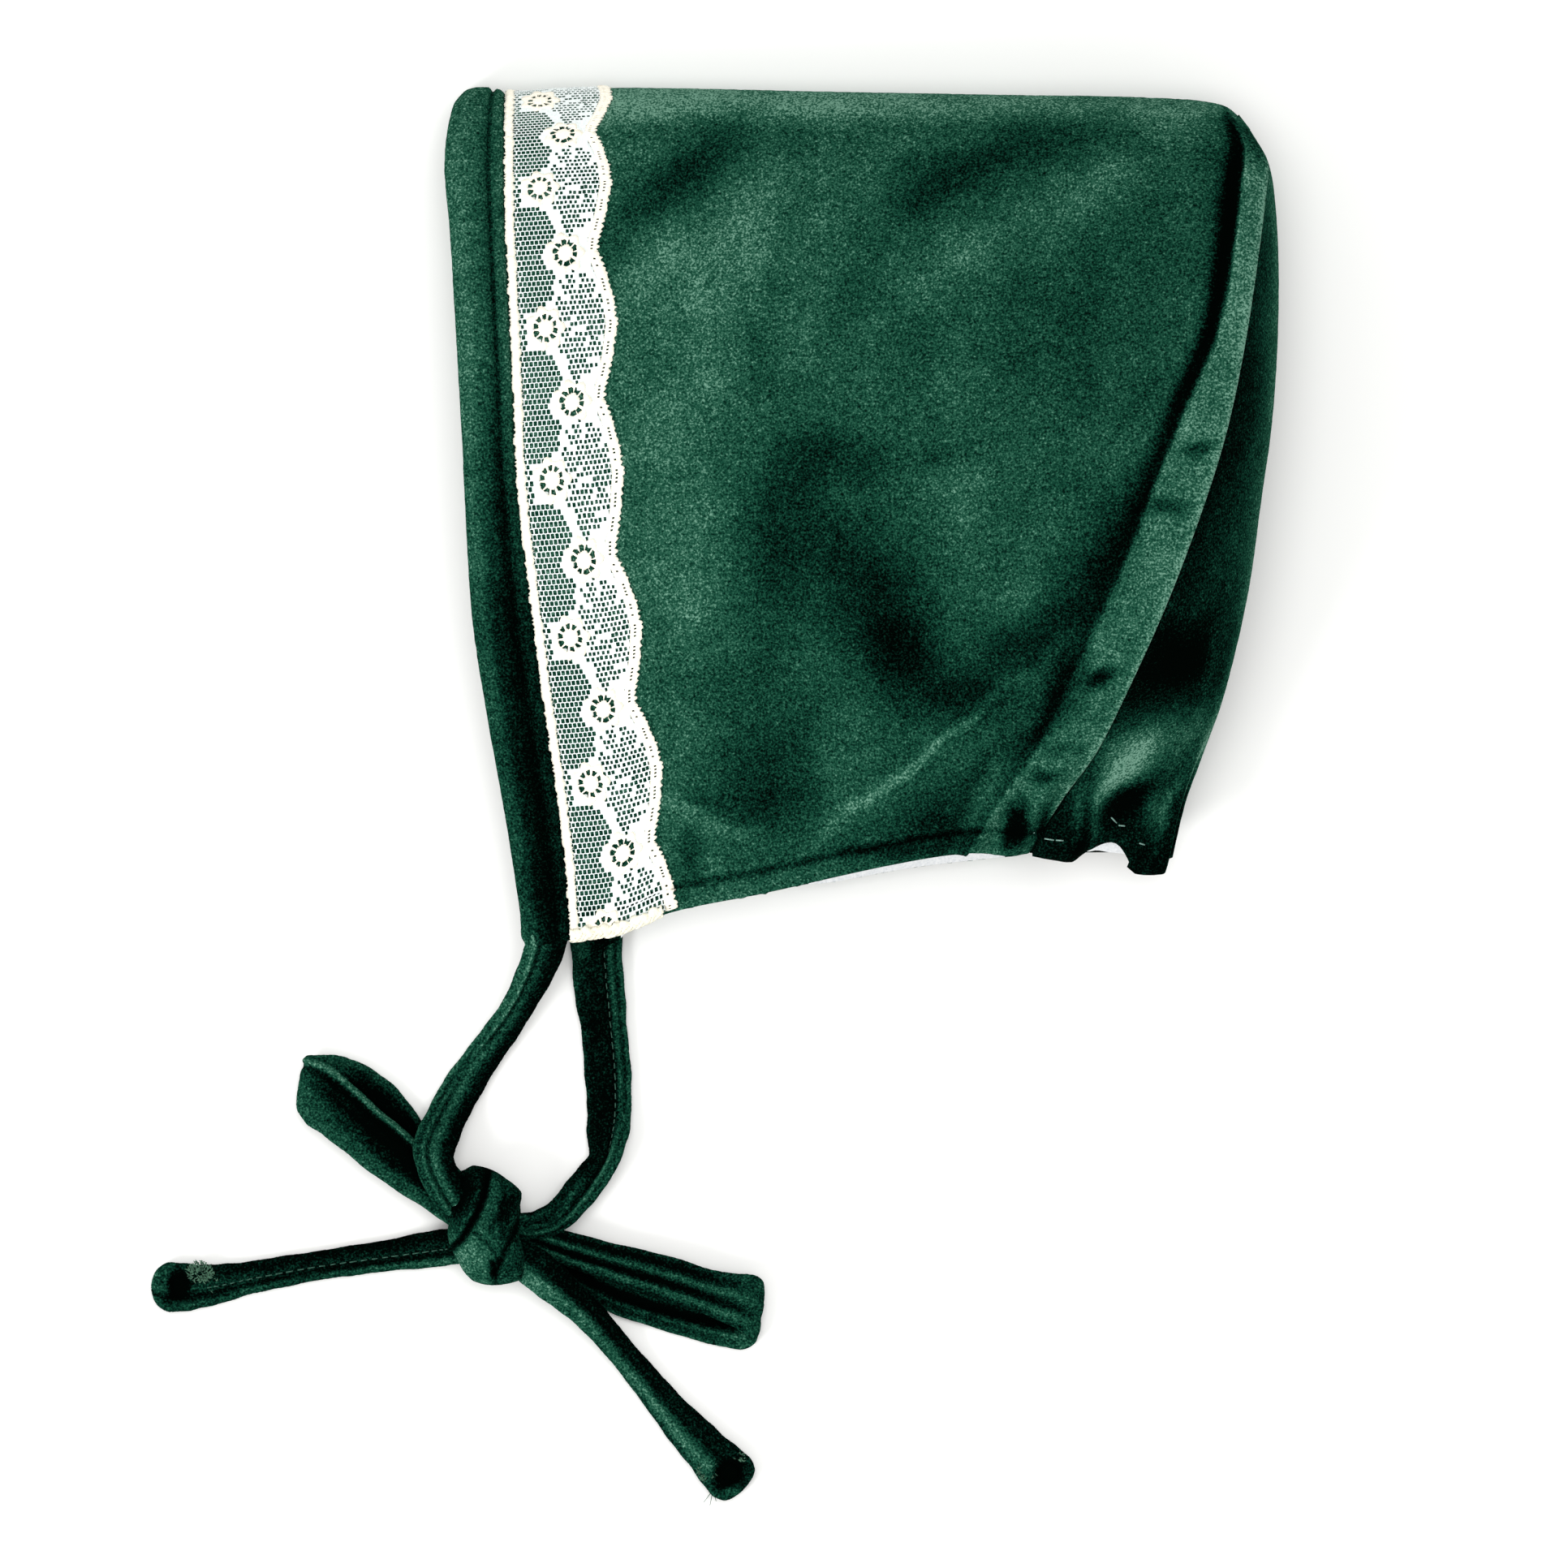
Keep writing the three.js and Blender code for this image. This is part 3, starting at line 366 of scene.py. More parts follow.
FAR_HEM = {
    "along": (0, 0.04, 0.1, 0.25, 0.4, 0.52, 0.72, 0.86, 0.94, 1),
    "drop": (0, -3, -4.4, -4, -2, -0.1, 1.1, 1.5, 0.6, 0),
}
NECK_RISE = {"along": (0, 0.5, 1), "rise": (0.5, 0.62, 0.52)}
CROWN_HEM = {
    "across": (0, 0.045, 0.09, 0.136, 0.182, 0.227, 0.273, 0.364, 0.5, 0.7, 1),
    "drop": (0.1, 0.35, 0.4, -0.15, -0.5, 0.55, 0.95, 1.0, 0.3, 0, 0),
}
CROWN_GATHERS = 6
SIDE_GATHERS = 11
GATHER_START = 0.8


# %% [markdown]
# ## Smooth curves
# The outlines of the bonnet were measured at a few places only. A smooth curve through those places gives
# the outline everywhere between them, without the corners that straight lines would leave in the cloth.

# %% Smooth curves through the tables
def smoothstep(value, low, high):
    share = np.clip((value - low) / (high - low), 0, 1)
    return share * share * (3 - 2 * share)


def curve_of(table, across, name):
    """A smooth curve through one row of a table, over another row."""
    places = np.array(table[across], float)
    values = np.array(table[name], float)
    slopes = np.empty_like(values)
    slopes[1:-1] = (values[2:] - values[:-2]) / (places[2:] - places[:-2])
    steps = np.diff(values) / np.diff(places)
    slopes[0] = 1.5 * steps[0] - 0.5 * slopes[1]
    slopes[-1] = 1.5 * steps[-1] - 0.5 * slopes[-2]

    def smooth(at):
        at = np.clip(at, places[0], places[-1])
        i = np.clip(np.searchsorted(places, at, side="right") - 1, 0, len(places) - 2)
        width = places[i + 1] - places[i]
        t = (at - places[i]) / width
        stay = 2 * t**3 - 3 * t**2 + 1
        leave = (t**3 - 2 * t**2 + t) * width
        arrive = (t**3 - t**2) * width
        return stay * values[i] + (1 - stay) * values[i + 1] + leave * slopes[i] + arrive * slopes[i + 1]

    return smooth


face_over = curve_of(FACE_EDGE, "down", "over")
binding_over = curve_of(BINDING_EDGE, "down", "over")
seam_over = curve_of(SEAM_EDGE, "down", "over")
strip_share = curve_of(SEAM_EDGE, "down", "strip")
bulge_share = curve_of(SEAM_EDGE, "down", "bulge")
top_sag = curve_of(EDGE_SAG, "along", "top")
hem_sag = curve_of(EDGE_SAG, "along", "hem")
far_hem = curve_of(FAR_HEM, "along", "drop")
neck_rise = curve_of(NECK_RISE, "along", "rise")
crown_hem = curve_of(CROWN_HEM, "across", "drop")


# %% [markdown]
# ## The outer face of the side panel
# Every point of the panel has a place in the plan and a height over the floor. The upper layer climbs
# from the fold to its full height, and the under layer lies on the floor. The seams, dents, gathers and
# the hem are low reliefs on top of that, so each one can be changed by itself.

# %% The side panel's outer face
def down_of(turn):
    """How far down the panel a turn lies in the plan, from 0 at the fold to 1 at the hem."""
    return (1 - np.cos(FOLD_SWEEP * np.abs(turn))) / (1 - math.cos(FOLD_SWEEP))


def panel_width(down):
    """From the band to the crown seam, in mm."""
    return PANEL_LENGTH * (seam_over(down) - binding_over(down))


def mix(first, second, share):
    """The value this share of the way from first to second."""
    return first + (second - first) * share


def plan_of(along, down):
    """Place in the plan, in mm, with the slight sag of the top fold and of the hem."""
    left = mix(CORNERS["binding_top"], CORNERS["binding_foot"], down)
    right = mix(CORNERS["seam_top"], CORNERS["seam_foot"], down)
    sag = (1 - down) * top_sag(along) + down * hem_sag(along)
    x = PANEL_LENGTH * mix(binding_over(down), seam_over(down), along)
    y = -FRONT_HEIGHT * (mix(left, right, along) + sag)
    return x, y


def fold_radius(along):
    """The fold is tight at the face and rounder at the crown."""
    return mix(FACE_FOLD_RADIUS, CROWN_FOLD_RADIUS, smoothstep(along, 0, 1))


def full_rise(along):
    """Height of the upper layer over the floor, low at the face and high at the crown."""
    return mix(FACE_THICKNESS, CROWN_THICKNESS, smoothstep(along, -0.1, 1))


def seam_relief(along, down):
    """The raised strip of the seam allowance, with a groove in front of it."""
    strip = SEAM_ALLOWANCE * strip_share(down)
    inward = (1 - along) * panel_width(down)
    raised = 1 - smoothstep(inward, STRIP_STEP[0] * strip, STRIP_STEP[1] * strip)
    groove = np.exp(-(((inward - GROOVE_AT * strip) / (GROOVE_SPREAD * strip)) ** 2))
    return smoothstep(down, 0.005, 0.06) * (SEAM_RIDGE * raised - SEAM_GROOVE * groove)


def dent_relief(along, down):
    """Soft dents pressed into the panel, none of them under the lace."""
    total = 0
    for at, below, spread, depth in DENTS:
        away = np.hypot(along - at, down - below) / spread
        total = total + depth * np.exp(-away * away)
    return -DENT_DEPTH * total * smoothstep(along, 0.16, 0.3)


def side_gathers(along, down):
    """Waves where the neck's gathers reach into the side panel."""
    near_neck = smoothstep(down, GATHER_START, 1) * smoothstep(along, 0.7, 0.85)
    return GATHER_DEPTH * near_neck * np.cos(2 * math.pi * SIDE_GATHERS * (1 - along) + math.pi)


def upper_rise(along, down, reach):
    """Height of the upper layer: round the fold, up to a crest, and down again to the neck."""
    radius = fold_radius(along)
    top = full_rise(along)
    half = top - radius
    crest = half * half / radius
    drop = down * reach
    climbing = radius + half * np.sqrt(np.clip(1 - (1 - drop / crest) ** 2, 0, None))
    past = smoothstep(drop, crest, reach * 1.02)
    return np.where(drop < crest, climbing, top * (1 - (1 - neck_rise(along)) * past))


def under_rise(along, down, reach):
    """Height of the under layer: round the fold onto the floor, a little lifted by the band."""
    radius = fold_radius(along)
    left = np.clip(radius - down * reach, 0, None)
    rounded = radius - np.sqrt(radius * radius - left * left)
    lace_end = (LACE_WIDTH + 3) / panel_width(down)
    lift = BINDING_PROUD * (1 - smoothstep(along, lace_end, lace_end + 0.12))
    return rounded + lift * (1 - left / radius)


def hem_relief(along, to_hem):
    """The turned-up hem: a groove at its stitches, and an edge that rolls under."""
    beyond_lace = smoothstep(along, 0.08, 0.16)
    groove = HEM_GROOVE * np.exp(-(((to_hem - HEM_DEPTH) / HEM_GROOVE_SPREAD) ** 2))
    roll = HEM_ROLL * (1 - smoothstep(to_hem, 0, HEM_ROLL_WIDTH))
    return -(groove * beyond_lace + roll)


def side_point(along, turn, gathered=1.0):
    """A point of the side panel's outer face, in the pattern's millimetres."""
    down = down_of(turn)
    x, y = plan_of(along, down)
    reach = FRONT_HEIGHT * mix(CORNERS["binding_foot"], CORNERS["seam_foot"] - CORNERS["seam_top"], along)
    relief = seam_relief(along, down) + dent_relief(along, down) + gathered * side_gathers(along, down)
    relief = relief + hem_relief(along, (1 - down) * reach)
    settled = smoothstep(down * reach, 0, fold_radius(along))
    upper = turn >= 0
    upper_height = upper_rise(along, down, reach) + relief * settled
    aside = FAR_CORNER_SHIFT * down * down * (1 - smoothstep(along, 0.1, 0.9))
    hem_drop = far_hem(along) * down**4
    return np.stack(
        [
            x + np.where(upper, 0, aside),
            y - np.where(upper, 0, hem_drop),
            np.where(upper, upper_height, under_rise(along, down, reach)),
        ],
        axis=-1,
    )


print("Chin corner of the upper layer, mm:", side_point(np.zeros(1), np.ones(1)).round(1))

# %% [markdown]
# ## The outer face of the crown
# The crown is stretched between its two seams like a sheet between two rails, and it bulges backwards in
# the middle. Near the neck its gathers run from seam to seam as waves, and its hem makes ruffles.

# %% The crown's outer face
def crown_point(turn, across, gathered=1.0):
    """A point of the crown's outer face, from seam to seam by across."""
    down = down_of(turn)
    ones = np.ones_like(down)
    upper = side_point(ones, turn, gathered)
    under = side_point(ones, -turn, gathered)
    arch = 4 * across * (1 - across)
    near_neck = smoothstep(down, GATHER_START, 1)
    wave = np.sin(2 * math.pi * CROWN_GATHERS * across) * np.sqrt(np.clip(arch, 0, None))
    point = mix(upper, under, across[..., None])
    point[..., 0] += CROWN_BULGE * bulge_share(down) * arch + gathered * GATHER_DEPTH * near_neck * wave
    point[..., 1] -= HEM_RUFFLE * crown_hem(across) * smoothstep(down, GATHER_START + 0.05, 1)
    return point


# %% [markdown]
# ## Which way the cloth faces
# The band, the lining and the lace lie at a set distance from the velvet, so we have to know which way its
# face looks. A small step each way along the cloth gives two slopes, and the way out is square to both.

# %% Which way a surface faces
def unit(vectors):
    """The same directions, each one unit long."""
    return vectors / np.maximum(np.linalg.norm(vectors, axis=-1, keepdims=True), 1e-12)


def facing_of(surface, first, second, low=-1.0, high=1.0, step=1e-3):
    """Direction that a surface faces, from its slopes both ways."""
    before = np.maximum(second - step, low)
    after = np.minimum(second + step, high)
    slope_first = surface(first + step, second) - surface(first - step, second)
    slope_second = surface(first, after) - surface(first, before)
    return unit(np.cross(slope_first, slope_second))


def side_facing(along, turn):
    return -facing_of(side_point, along, turn)


def crown_facing(turn, across):
    return facing_of(crown_point, np.clip(turn, 2e-3, 1 - 2e-3), across, 0.0, 1.0)


# %% [markdown]
# ## Section of the band
# The band wraps round the raw edge of the panel, so its section is a flat oval that reaches from inside
# the lining to outside the velvet. The topstitching is a narrow crease along its outer side.

# %% Rings of the face binding
def rounded_flat(angle, flatness=0.8):
    """Round a section that is between an oval and a rounded slab."""
    wide = np.sign(np.cos(angle)) * np.abs(np.cos(angle)) ** flatness
    high = np.sign(np.sin(angle)) * np.abs(np.sin(angle)) ** flatness
    return wide, high


def binding_point(turn, wide, high):
    """A point of the band, wide from -1 at the face to 1 at the lace, high from -1 inside to 1 outside."""
    down = down_of(turn)
    zero = np.zeros_like(down)
    edge = side_point(zero, turn)
    out = side_facing(zero, turn)
    forward = unit(side_point(zero - 0.05, turn) - side_point(zero + 0.05, turn))
    width = PANEL_LENGTH * (binding_over(down) - face_over(down))
    middle = (BINDING_PROUD - BODY_DEPTH - GAP) / 2
    half = (BINDING_PROUD + BODY_DEPTH + GAP) / 2
    across = width * (1 - wide) / 2
    crease = TOPSTITCH_DEPTH * np.exp(-(((wide - TOPSTITCH_AT) / TOPSTITCH_SPREAD) ** 2)) * (high > 0)
    return edge + forward * across[..., None] + out * (middle + half * high - crease)[..., None]


def binding_end(turn):
    """The middle of the band's section at a place along it."""
    angles = np.arange(10) * 2 * math.pi / 10
    wide, high = rounded_flat(angles)
    return binding_point(np.full(10, float(turn)), wide, high).mean(axis=0)


# %% [markdown]
# ## From the pattern to the frame
# The pattern is drawn in millimetres from a corner of its own. The knot hangs at a known place below the
# near end of the band, and the CAD model says where its knot is, so we shift the one onto the other.

# %% From the pattern's own millimetres to the frame's metres
TIE_DROP = 54
KNOT_LEAN = 0.215

near_corner = binding_end(1)
knot_in_pattern = (near_corner[0] - TIE_DROP * KNOT_LEAN, near_corner[1] - TIE_DROP)
knot_low, knot_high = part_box("bow_knot")
knot_in_frame = (np.array(knot_low) + np.array(knot_high)) / 2 * 1000
shift = np.array([knot_in_frame[0] - knot_in_pattern[0], knot_in_frame[1] - knot_in_pattern[1], 0])
print("Pattern's origin in the frame, mm:", shift.round(2))


def to_frame(points):
    """From the pattern's millimetres to the frame's metres."""
    return (points + shift) / 1000


# %% [markdown]
# ## Making cloth from a grid
# Every sheet starts as a flat grid. Each corner of the grid knows its share of the way across and along
# the cloth, and a function says where that point lies on the bonnet. The Solidify modifier then gives
# the cloth its wall. A tube, such as a tie, is the same grid with its long edges joined.

# %% Grid helpers
def bent_grid(columns, rows, place, joined=False):
    """A grid whose corners are moved by place(u, v), where u and v run from 0 to 1 and stay with them."""
    shape = bmesh.new()
    layer = shape.loops.layers.uv.new("cloth")
    share_u = shape.verts.layers.float.new("share_u")
    share_v = shape.verts.layers.float.new("share_v")
    bmesh.ops.create_grid(shape, x_segments=columns, y_segments=rows, size=0.5)
    flat = np.array([vertex.co[:2] for vertex in shape.verts]) + 0.5
    for face in shape.faces:
        for corner in face.loops:
            corner[layer].uv = (corner.vert.co.x + 0.5, corner.vert.co.y + 0.5)
    for vertex, (u, v), point in zip(shape.verts, flat, to_frame(place(flat[:, 0], flat[:, 1]))):
        vertex[share_u], vertex[share_v] = u, v
        vertex.co = point
    if joined:
        bmesh.ops.remove_doubles(shape, verts=shape.verts, dist=1e-6)
    return shape


def tube(sides, rings, place):
    """A grid with its long edges joined, both ends closed and all its faces turned outwards."""
    shape = bent_grid(sides, rings, place, joined=True)
    bmesh.ops.holes_fill(shape, edges=[e for e in shape.edges if e.is_boundary], sides=0)
    bmesh.ops.recalc_face_normals(shape, faces=shape.faces)
    return shape


def finish_piece(name, shape, material, replaced, wall=0.0):
    """Turns a shape into a piece of the scene, with a wall in mm, and says which CAD parts it dresses."""
    mesh = bpy.data.meshes.new(name)
    shape.to_mesh(mesh)
    shape.free()
    mesh.materials.append(material)
    mesh.polygons.foreach_set("use_smooth", [True] * len(mesh.polygons))
    piece = bpy.data.objects.new(name, mesh)
    scene.collection.objects.link(piece)
    if wall:
        thick = piece.modifiers.new("cloth_wall", "SOLIDIFY")
        thick.thickness = wall / 1000
        thick.offset = -1
    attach(piece, "root")
    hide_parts(*replaced)
    print(name, "faces:", len(mesh.polygons))
    return piece


# %% [markdown]
# ## How the pile lies, with painted light and shade
# The light and dark of velvet come mostly from the lean of its pile, which is too fine to model. We write it
# as one number for each point of the cloth, high where the pile leans towards the light. The same number
# also carries painted light and shade: it is raised on faces turned to the lamp at the lower left and on
# painted sheen and highlights, and lowered in painted shade. The numbers come from soft oval marks and small
# tables, which we place from the photograph.

# %% How the pile lies, with painted light and shade
def corner_values(mesh, holder, key, width=1):
    """One value, or a row of values, for every corner of a mesh."""
    values = np.empty(len(mesh.vertices) * width, np.float32)
    holder.foreach_get(key, values)
    return values.reshape(-1, width) if width > 1 else values


def lay_pile_and_painted_light(piece, pile_and_shading, tuft_mm=0.05):
    """Writes the tone that the given function of points, normals, u and v gives, which is the lean of the
    pile together with painted light and shade, and roughens the face a little.
    """
    mesh = piece.data
    normals = corner_values(mesh, mesh.vertex_normals, "vector", 3)
    points = corner_values(mesh, mesh.vertices, "co", 3)
    u = corner_values(mesh, mesh.attributes["share_u"].data, "value")
    v = corner_values(mesh, mesh.attributes["share_v"].data, "value")
    pile_and_painted_light = pile_and_shading(points * 1000, normals, u, v).astype(np.float32)
    # The stored tone carries painted light and shade as well as the lean of the pile.
    mesh.attributes.new("pile_and_painted_light", "FLOAT", "POINT").data.foreach_set("value", pile_and_painted_light)
    rough = np.random.default_rng(3).uniform(-tuft_mm, tuft_mm, len(points))[:, None] / 1000
    mesh.vertices.foreach_set("co", (points + normals * rough).astype(np.float32).ravel())
    mesh.update()


def tone_marks(points, marks):
    """Soft oval marks of tone, for the pile and for painted light and shade: middle in mm, half length, half
    width, angle in degrees and lean.

    Two slow waves bend every mark a little, since nothing on worn velvet is a true oval.
    """
    x = points[:, 0] + 0.9 * np.sin(0.23 * points[:, 1] + 1.3) + 0.5 * np.sin(0.61 * points[:, 0])
    y = points[:, 1] + 0.9 * np.sin(0.21 * points[:, 0] + 0.4) + 0.5 * np.sin(0.57 * points[:, 1])
    total = np.zeros(len(points))
    for middle_x, middle_y, half_length, half_width, angle, lean in marks:
        turned = math.radians(angle)
        ahead = (x - middle_x) * math.cos(turned) + (y - middle_y) * math.sin(turned)
        aside = (y - middle_y) * math.cos(turned) - (x - middle_x) * math.sin(turned)
        total += lean * np.exp(-((ahead / half_length) ** 2 + (aside / half_width) ** 2))
    return total


def tone_table(rows, stations, across, at_station, at_place):
    """Tone, for the pile's lean and painted light and shade, read from a small table, with a row for each
    station and a column for each place across.
    """
    columns = np.stack([np.interp(at_station, stations, column) for column in np.array(rows, float).T])
    place = np.interp(at_place, across, np.arange(len(across)))
    low = np.minimum(place.astype(int), len(across) - 2)
    share = smoothstep(place - low, 0, 1)
    every = np.arange(len(place))
    return mix(columns[low, every], columns[low + 1, every], share)


# The side from which light is painted into the velvet's colour.
LIGHT_COMES_FROM = (-0.75, -0.45, 0.0)


def side_light(normals):
    """How far a face looks towards the light at the lower left, used to paint side light and shade into the
    velvet's colour.
    """
    return normals @ np.array(LIGHT_COMES_FROM)


# %% [markdown]
# ## Side panel
# The panel is cut on the fold, so one piece of velvet covers both sides of the head. Soft dark and light
# marks are painted into its tone from the photograph: part of them is wear in its pile, and part is painted
# light and shade on dents and creases. The panel is painted lighter where it faces the lamp at the lower
# left, with a painted sheen along the top fold, and darker towards the crown and in its lower half. Along
# the crown seam the allowance underneath makes a raised strip with a painted highlight and a painted glint
# at the seam, with painted shade in the groove before it.

# %% Marks of pile, painted light and painted shade in the side panel
SIDE_PILE_LIGHT_AND_SHADE_MARKS = (
    (-7, 116, 17, 5, 42, -0.34),
    (6, 106, 17, 6, 45, 0.14),
    (-10, 101, 10, 5, 50, 0.12),
    (50, 118, 19, 5, 22, -0.24),
    (40, 113, 8, 6, 60, -0.12),
    (72, 114, 16, 5, 32, 0.16),
    (89, 126, 9, 3, 0, 0.2),
    (60, 78, 34, 16, 65, -0.06),
    (10, 94, 16, 3, 78, -0.08),
    (24, 90, 12, 4, 70, -0.12),
    (38, 80, 12, 6, 90, -0.14),
    (57, 86, 16, 5, 50, -0.06),
    (70, 88, 16, 5, 80, -0.06),
    (45, 100, 16, 4, 38, 0.12),
    (26, 42, 34, 15, -62, -0.2),
    (21, 64, 10, 5, -5, -0.2),
    (13, 53, 12, 8, 62, -0.16),
    (28, 38, 17, 9, -55, -0.14),
    (37, 27, 10, 6, -40, -0.34),
    (55, 17, 8, 8, 0, -0.08),
    (46, 17, 9, 4, -10, -0.22),
    (60, 28, 11, 5, 32, -0.24),
    (42, 63, 5, 2.4, 0, -0.22),
    (57, 53, 5, 3.5, 0, -0.14),
    (48, 46, 18, 4, 88, 0.1),
    (59, 42, 14, 4, 70, 0.06),
    (74, 46, 14, 5, 62, -0.26),
    (67, 36, 10, 5, 55, -0.16),
    (10, 40, 14, 6, 95, -0.14),
    (-4, 34, 5, 4, 0, 0.12),
    (10, 5, 13, 8, 95, -0.26),
    (12, -2, 8, 5, 0, -0.18),
    (-1, -3, 6, 2.5, 0, -0.22),
    (-3, -5, 14, 1.6, -18, 0.22),
    (-6, -13, 2, 4, 0, -0.25),
    (8, 24, 14, 5, 30, -0.12),
    (38, 5.4, 26, 1.1, 39, 0.3),
    (48, 1, 18, 3, 41, -0.16),
    (40, -5, 7, 5, 20, -0.12),
    (58, 12, 14, 5, 52, 0.04),
    (66, 21, 9, 2.4, 62, -0.42),
    (61, 12, 7, 2, 60, -0.26),
    (63, 3.5, 3, 1.3, 0, -0.55),
    (55.5, -8, 4, 1, 70, -0.45),
    (60, -10, 5, 1.2, 62, -0.5),
    (66, 8, 4, 1.2, 0, -0.2),
    (72.5, 21, 3.4, 1.8, 15, -0.8),
    (57, -7, 5, 1.3, 70, -0.7),
    (61.5, -7, 5, 1, 62, -0.55),
    (66, -9, 4, 3, 0, -0.8),
    (42, -6, 4, 4, 0, -0.14),
    (52, -4, 8, 3, 80, 0.1),
    (35, -11.5, 20, 1.6, 3, -0.22),
    (91, 65, 3.5, 1.5, 20, -0.5),
    (86, 53, 3.5, 1.5, 5, -0.5),
)
# Painted shade in the groove before the seam strip: how dark and how wide, down the panel.
GROOVE_PAINTED_SHADE = {
    "down": (0, 0.03, 0.1, 0.3, 0.5, 0.62, 0.72, 0.82, 1),
    "lean": (0.2, 0.6, 0.85, 0.8, 0.55, 0.3, 0.12, 0.12, 0.2),
    "width": (0.9, 1.2, 2.2, 2, 1.8, 2, 2, 2, 2),
}
SIDE_COLUMNS = 170
SIDE_ROWS = 250
CLOSER_TO_HEM = 1.35
# Tone of the panel, its gradients, and the strength of its painted light and shade.
PANEL_TONE = 0.63
DARKER_PER_MM_TOWARDS_CROWN = 0.0013
DARKER_IN_LOWER_HALF = 0.11
PAINTED_SIDE_LIGHT = 0.25
FOLD_PAINTED_SHEEN = 0.34
STRIP_PAINTED_HIGHLIGHT = 0.74
SEAM_EDGE_PAINTED_GLINT = 0.25
HEM_SHADOW = 0.35
HEM_REACH = 0.93 * FRONT_HEIGHT
print("Marks in the pile:", len(SIDE_PILE_LIGHT_AND_SHADE_MARKS))


# %% Side panel
def side_turn(v):
    """Rows lie closer together towards the upper hem, where the stitches pull the finest shapes."""
    return 1 - 2 * v**CLOSER_TO_HEM


def side_place(u, v):
    turn = side_turn(v)
    start = GAP / panel_width(down_of(turn))
    return side_point(start + (1 - start) * u, turn)


def side_pile_and_painted_light(points, normals, u, v):
    down = down_of(side_turn(v))
    strip = SEAM_ALLOWANCE * strip_share(down)
    inward = (1 - u) * panel_width(down)
    to_hem = (1 - down) * HEM_REACH
    # Darker towards the crown and in the lower half.
    pile_and_painted_light = PANEL_TONE - DARKER_PER_MM_TOWARDS_CROWN * (points[:, 0] + 20)
    pile_and_painted_light -= DARKER_IN_LOWER_HALF * smoothstep(70 - points[:, 1], 0, 55)
    # Painted side light: faces turned to the lamp at the lower left are lighter.
    pile_and_painted_light = pile_and_painted_light + PAINTED_SIDE_LIGHT * side_light(normals)
    # Painted sheen along the top fold.
    pile_and_painted_light += FOLD_PAINTED_SHEEN * smoothstep(points[:, 1], 125, 131)
    # Painted highlight on the raised seam strip.
    on_strip = smoothstep(down, 0.03, 0.1) * (1 - smoothstep(inward, strip - 0.5, strip + 0.3))
    pile_and_painted_light = mix(pile_and_painted_light, STRIP_PAINTED_HIGHLIGHT - 0.1 * down, on_strip)
    # Marks: wear in the pile, with painted light and shade on dents and creases.
    pile_and_painted_light += tone_marks(points, SIDE_PILE_LIGHT_AND_SHADE_MARKS)
    # Painted shade in the groove before the strip.
    width = np.interp(down, GROOVE_PAINTED_SHADE["down"], GROOVE_PAINTED_SHADE["width"])
    depth = np.interp(down, GROOVE_PAINTED_SHADE["down"], GROOVE_PAINTED_SHADE["lean"])
    beyond = smoothstep(inward, strip - 0.4, strip + 0.4)
    pile_and_painted_light -= depth * beyond * np.exp(-(((inward - strip - 0.6 * width) / width) ** 2))
    # Painted glint along the seam edge.
    pile_and_painted_light += SEAM_EDGE_PAINTED_GLINT * np.exp(-((inward / 0.7) ** 2))
    # Painted shadow along the hem's stitches.
    return pile_and_painted_light - HEM_SHADOW * np.exp(-(((to_hem - HEM_DEPTH) / 0.7) ** 2))


side_shape = bent_grid(SIDE_COLUMNS, SIDE_ROWS, side_place)
side_panel = finish_piece("velvet_side", side_shape, velvet, ["side_panel"], VELVET_WALL)
lay_pile_and_painted_light(side_panel, side_pile_and_painted_light)

# %% [markdown]
# ## Lining of the side panel
# The lining is white cotton, cut a little smaller than the velvet, so its edges stay inside. It lies a
# wall's thickness behind the outer face, so we take the same surface and step back from it.

# %% Lining of the side panel
def inside(surface_point, surface_facing, first, second, depth):
    """The point that lies this deep behind the outer face."""
    return surface_point(first, second) - surface_facing(first, second) * depth


LINING_DEPTH = VELVET_WALL + GAP
LINING_HEM = 0.03
LINING_REACH = {"upper": 0.985, "under": 0.95}


def side_lining_place(u, v):
    turn = (1 - LINING_HEM) - (2 - LINING_HEM) * v
    start = GAP / panel_width(down_of(turn))
    end = np.where(turn > 0, LINING_REACH["upper"], LINING_REACH["under"])
    return inside(side_point, side_facing, start + (end - start) * u, turn, LINING_DEPTH)


side_lining = finish_piece(
    "lining_side", bent_grid(60, 90, side_lining_place), cotton, ["side_lining"], LINING_WALL
)

# %% [markdown]
# ## Crown
# The crown is one gathered piece that closes the back of the head between the two seams. It bulges past the
# seam and faces away from the light, so most of it is painted nearly black as shade, with a painted sheen
# along its rim. Painted light lies on the gathers above the neck, with painted shade in a wrinkle there. Its
# lining hangs a little deeper where it is gathered.

# %% Crown
# Marks of pile, painted light on the gathers and painted shade in a wrinkle.
CROWN_PILE_LIGHT_AND_SHADE_MARKS = (
    (95, 43, 14, 5, 66, 0.26),
    (100, 62, 10, 2, 74, 0.12),
    (80.5, 7, 12, 9, 42, 0.62),
    (86, 22.5, 13, 4.5, 38, -0.42),
    (69, -8, 6, 1.1, 70, -0.4),
    (71.5, -7, 6, 0.9, 74, 0.2),
    (90, 12, 6, 4, 70, 0.2),
    (76, 0, 9, 3, 52, 0.5),
    (84, -5, 4.5, 2.4, 55, 0.42),
    (86.5, -4, 12, 0.7, 67, 0.3),
    (95, 26, 12, 2, 68, 0.22),
    (79, -2.5, 6, 2.6, 34, -0.7),
    (69, -3, 5, 1, 80, 0.3),
)
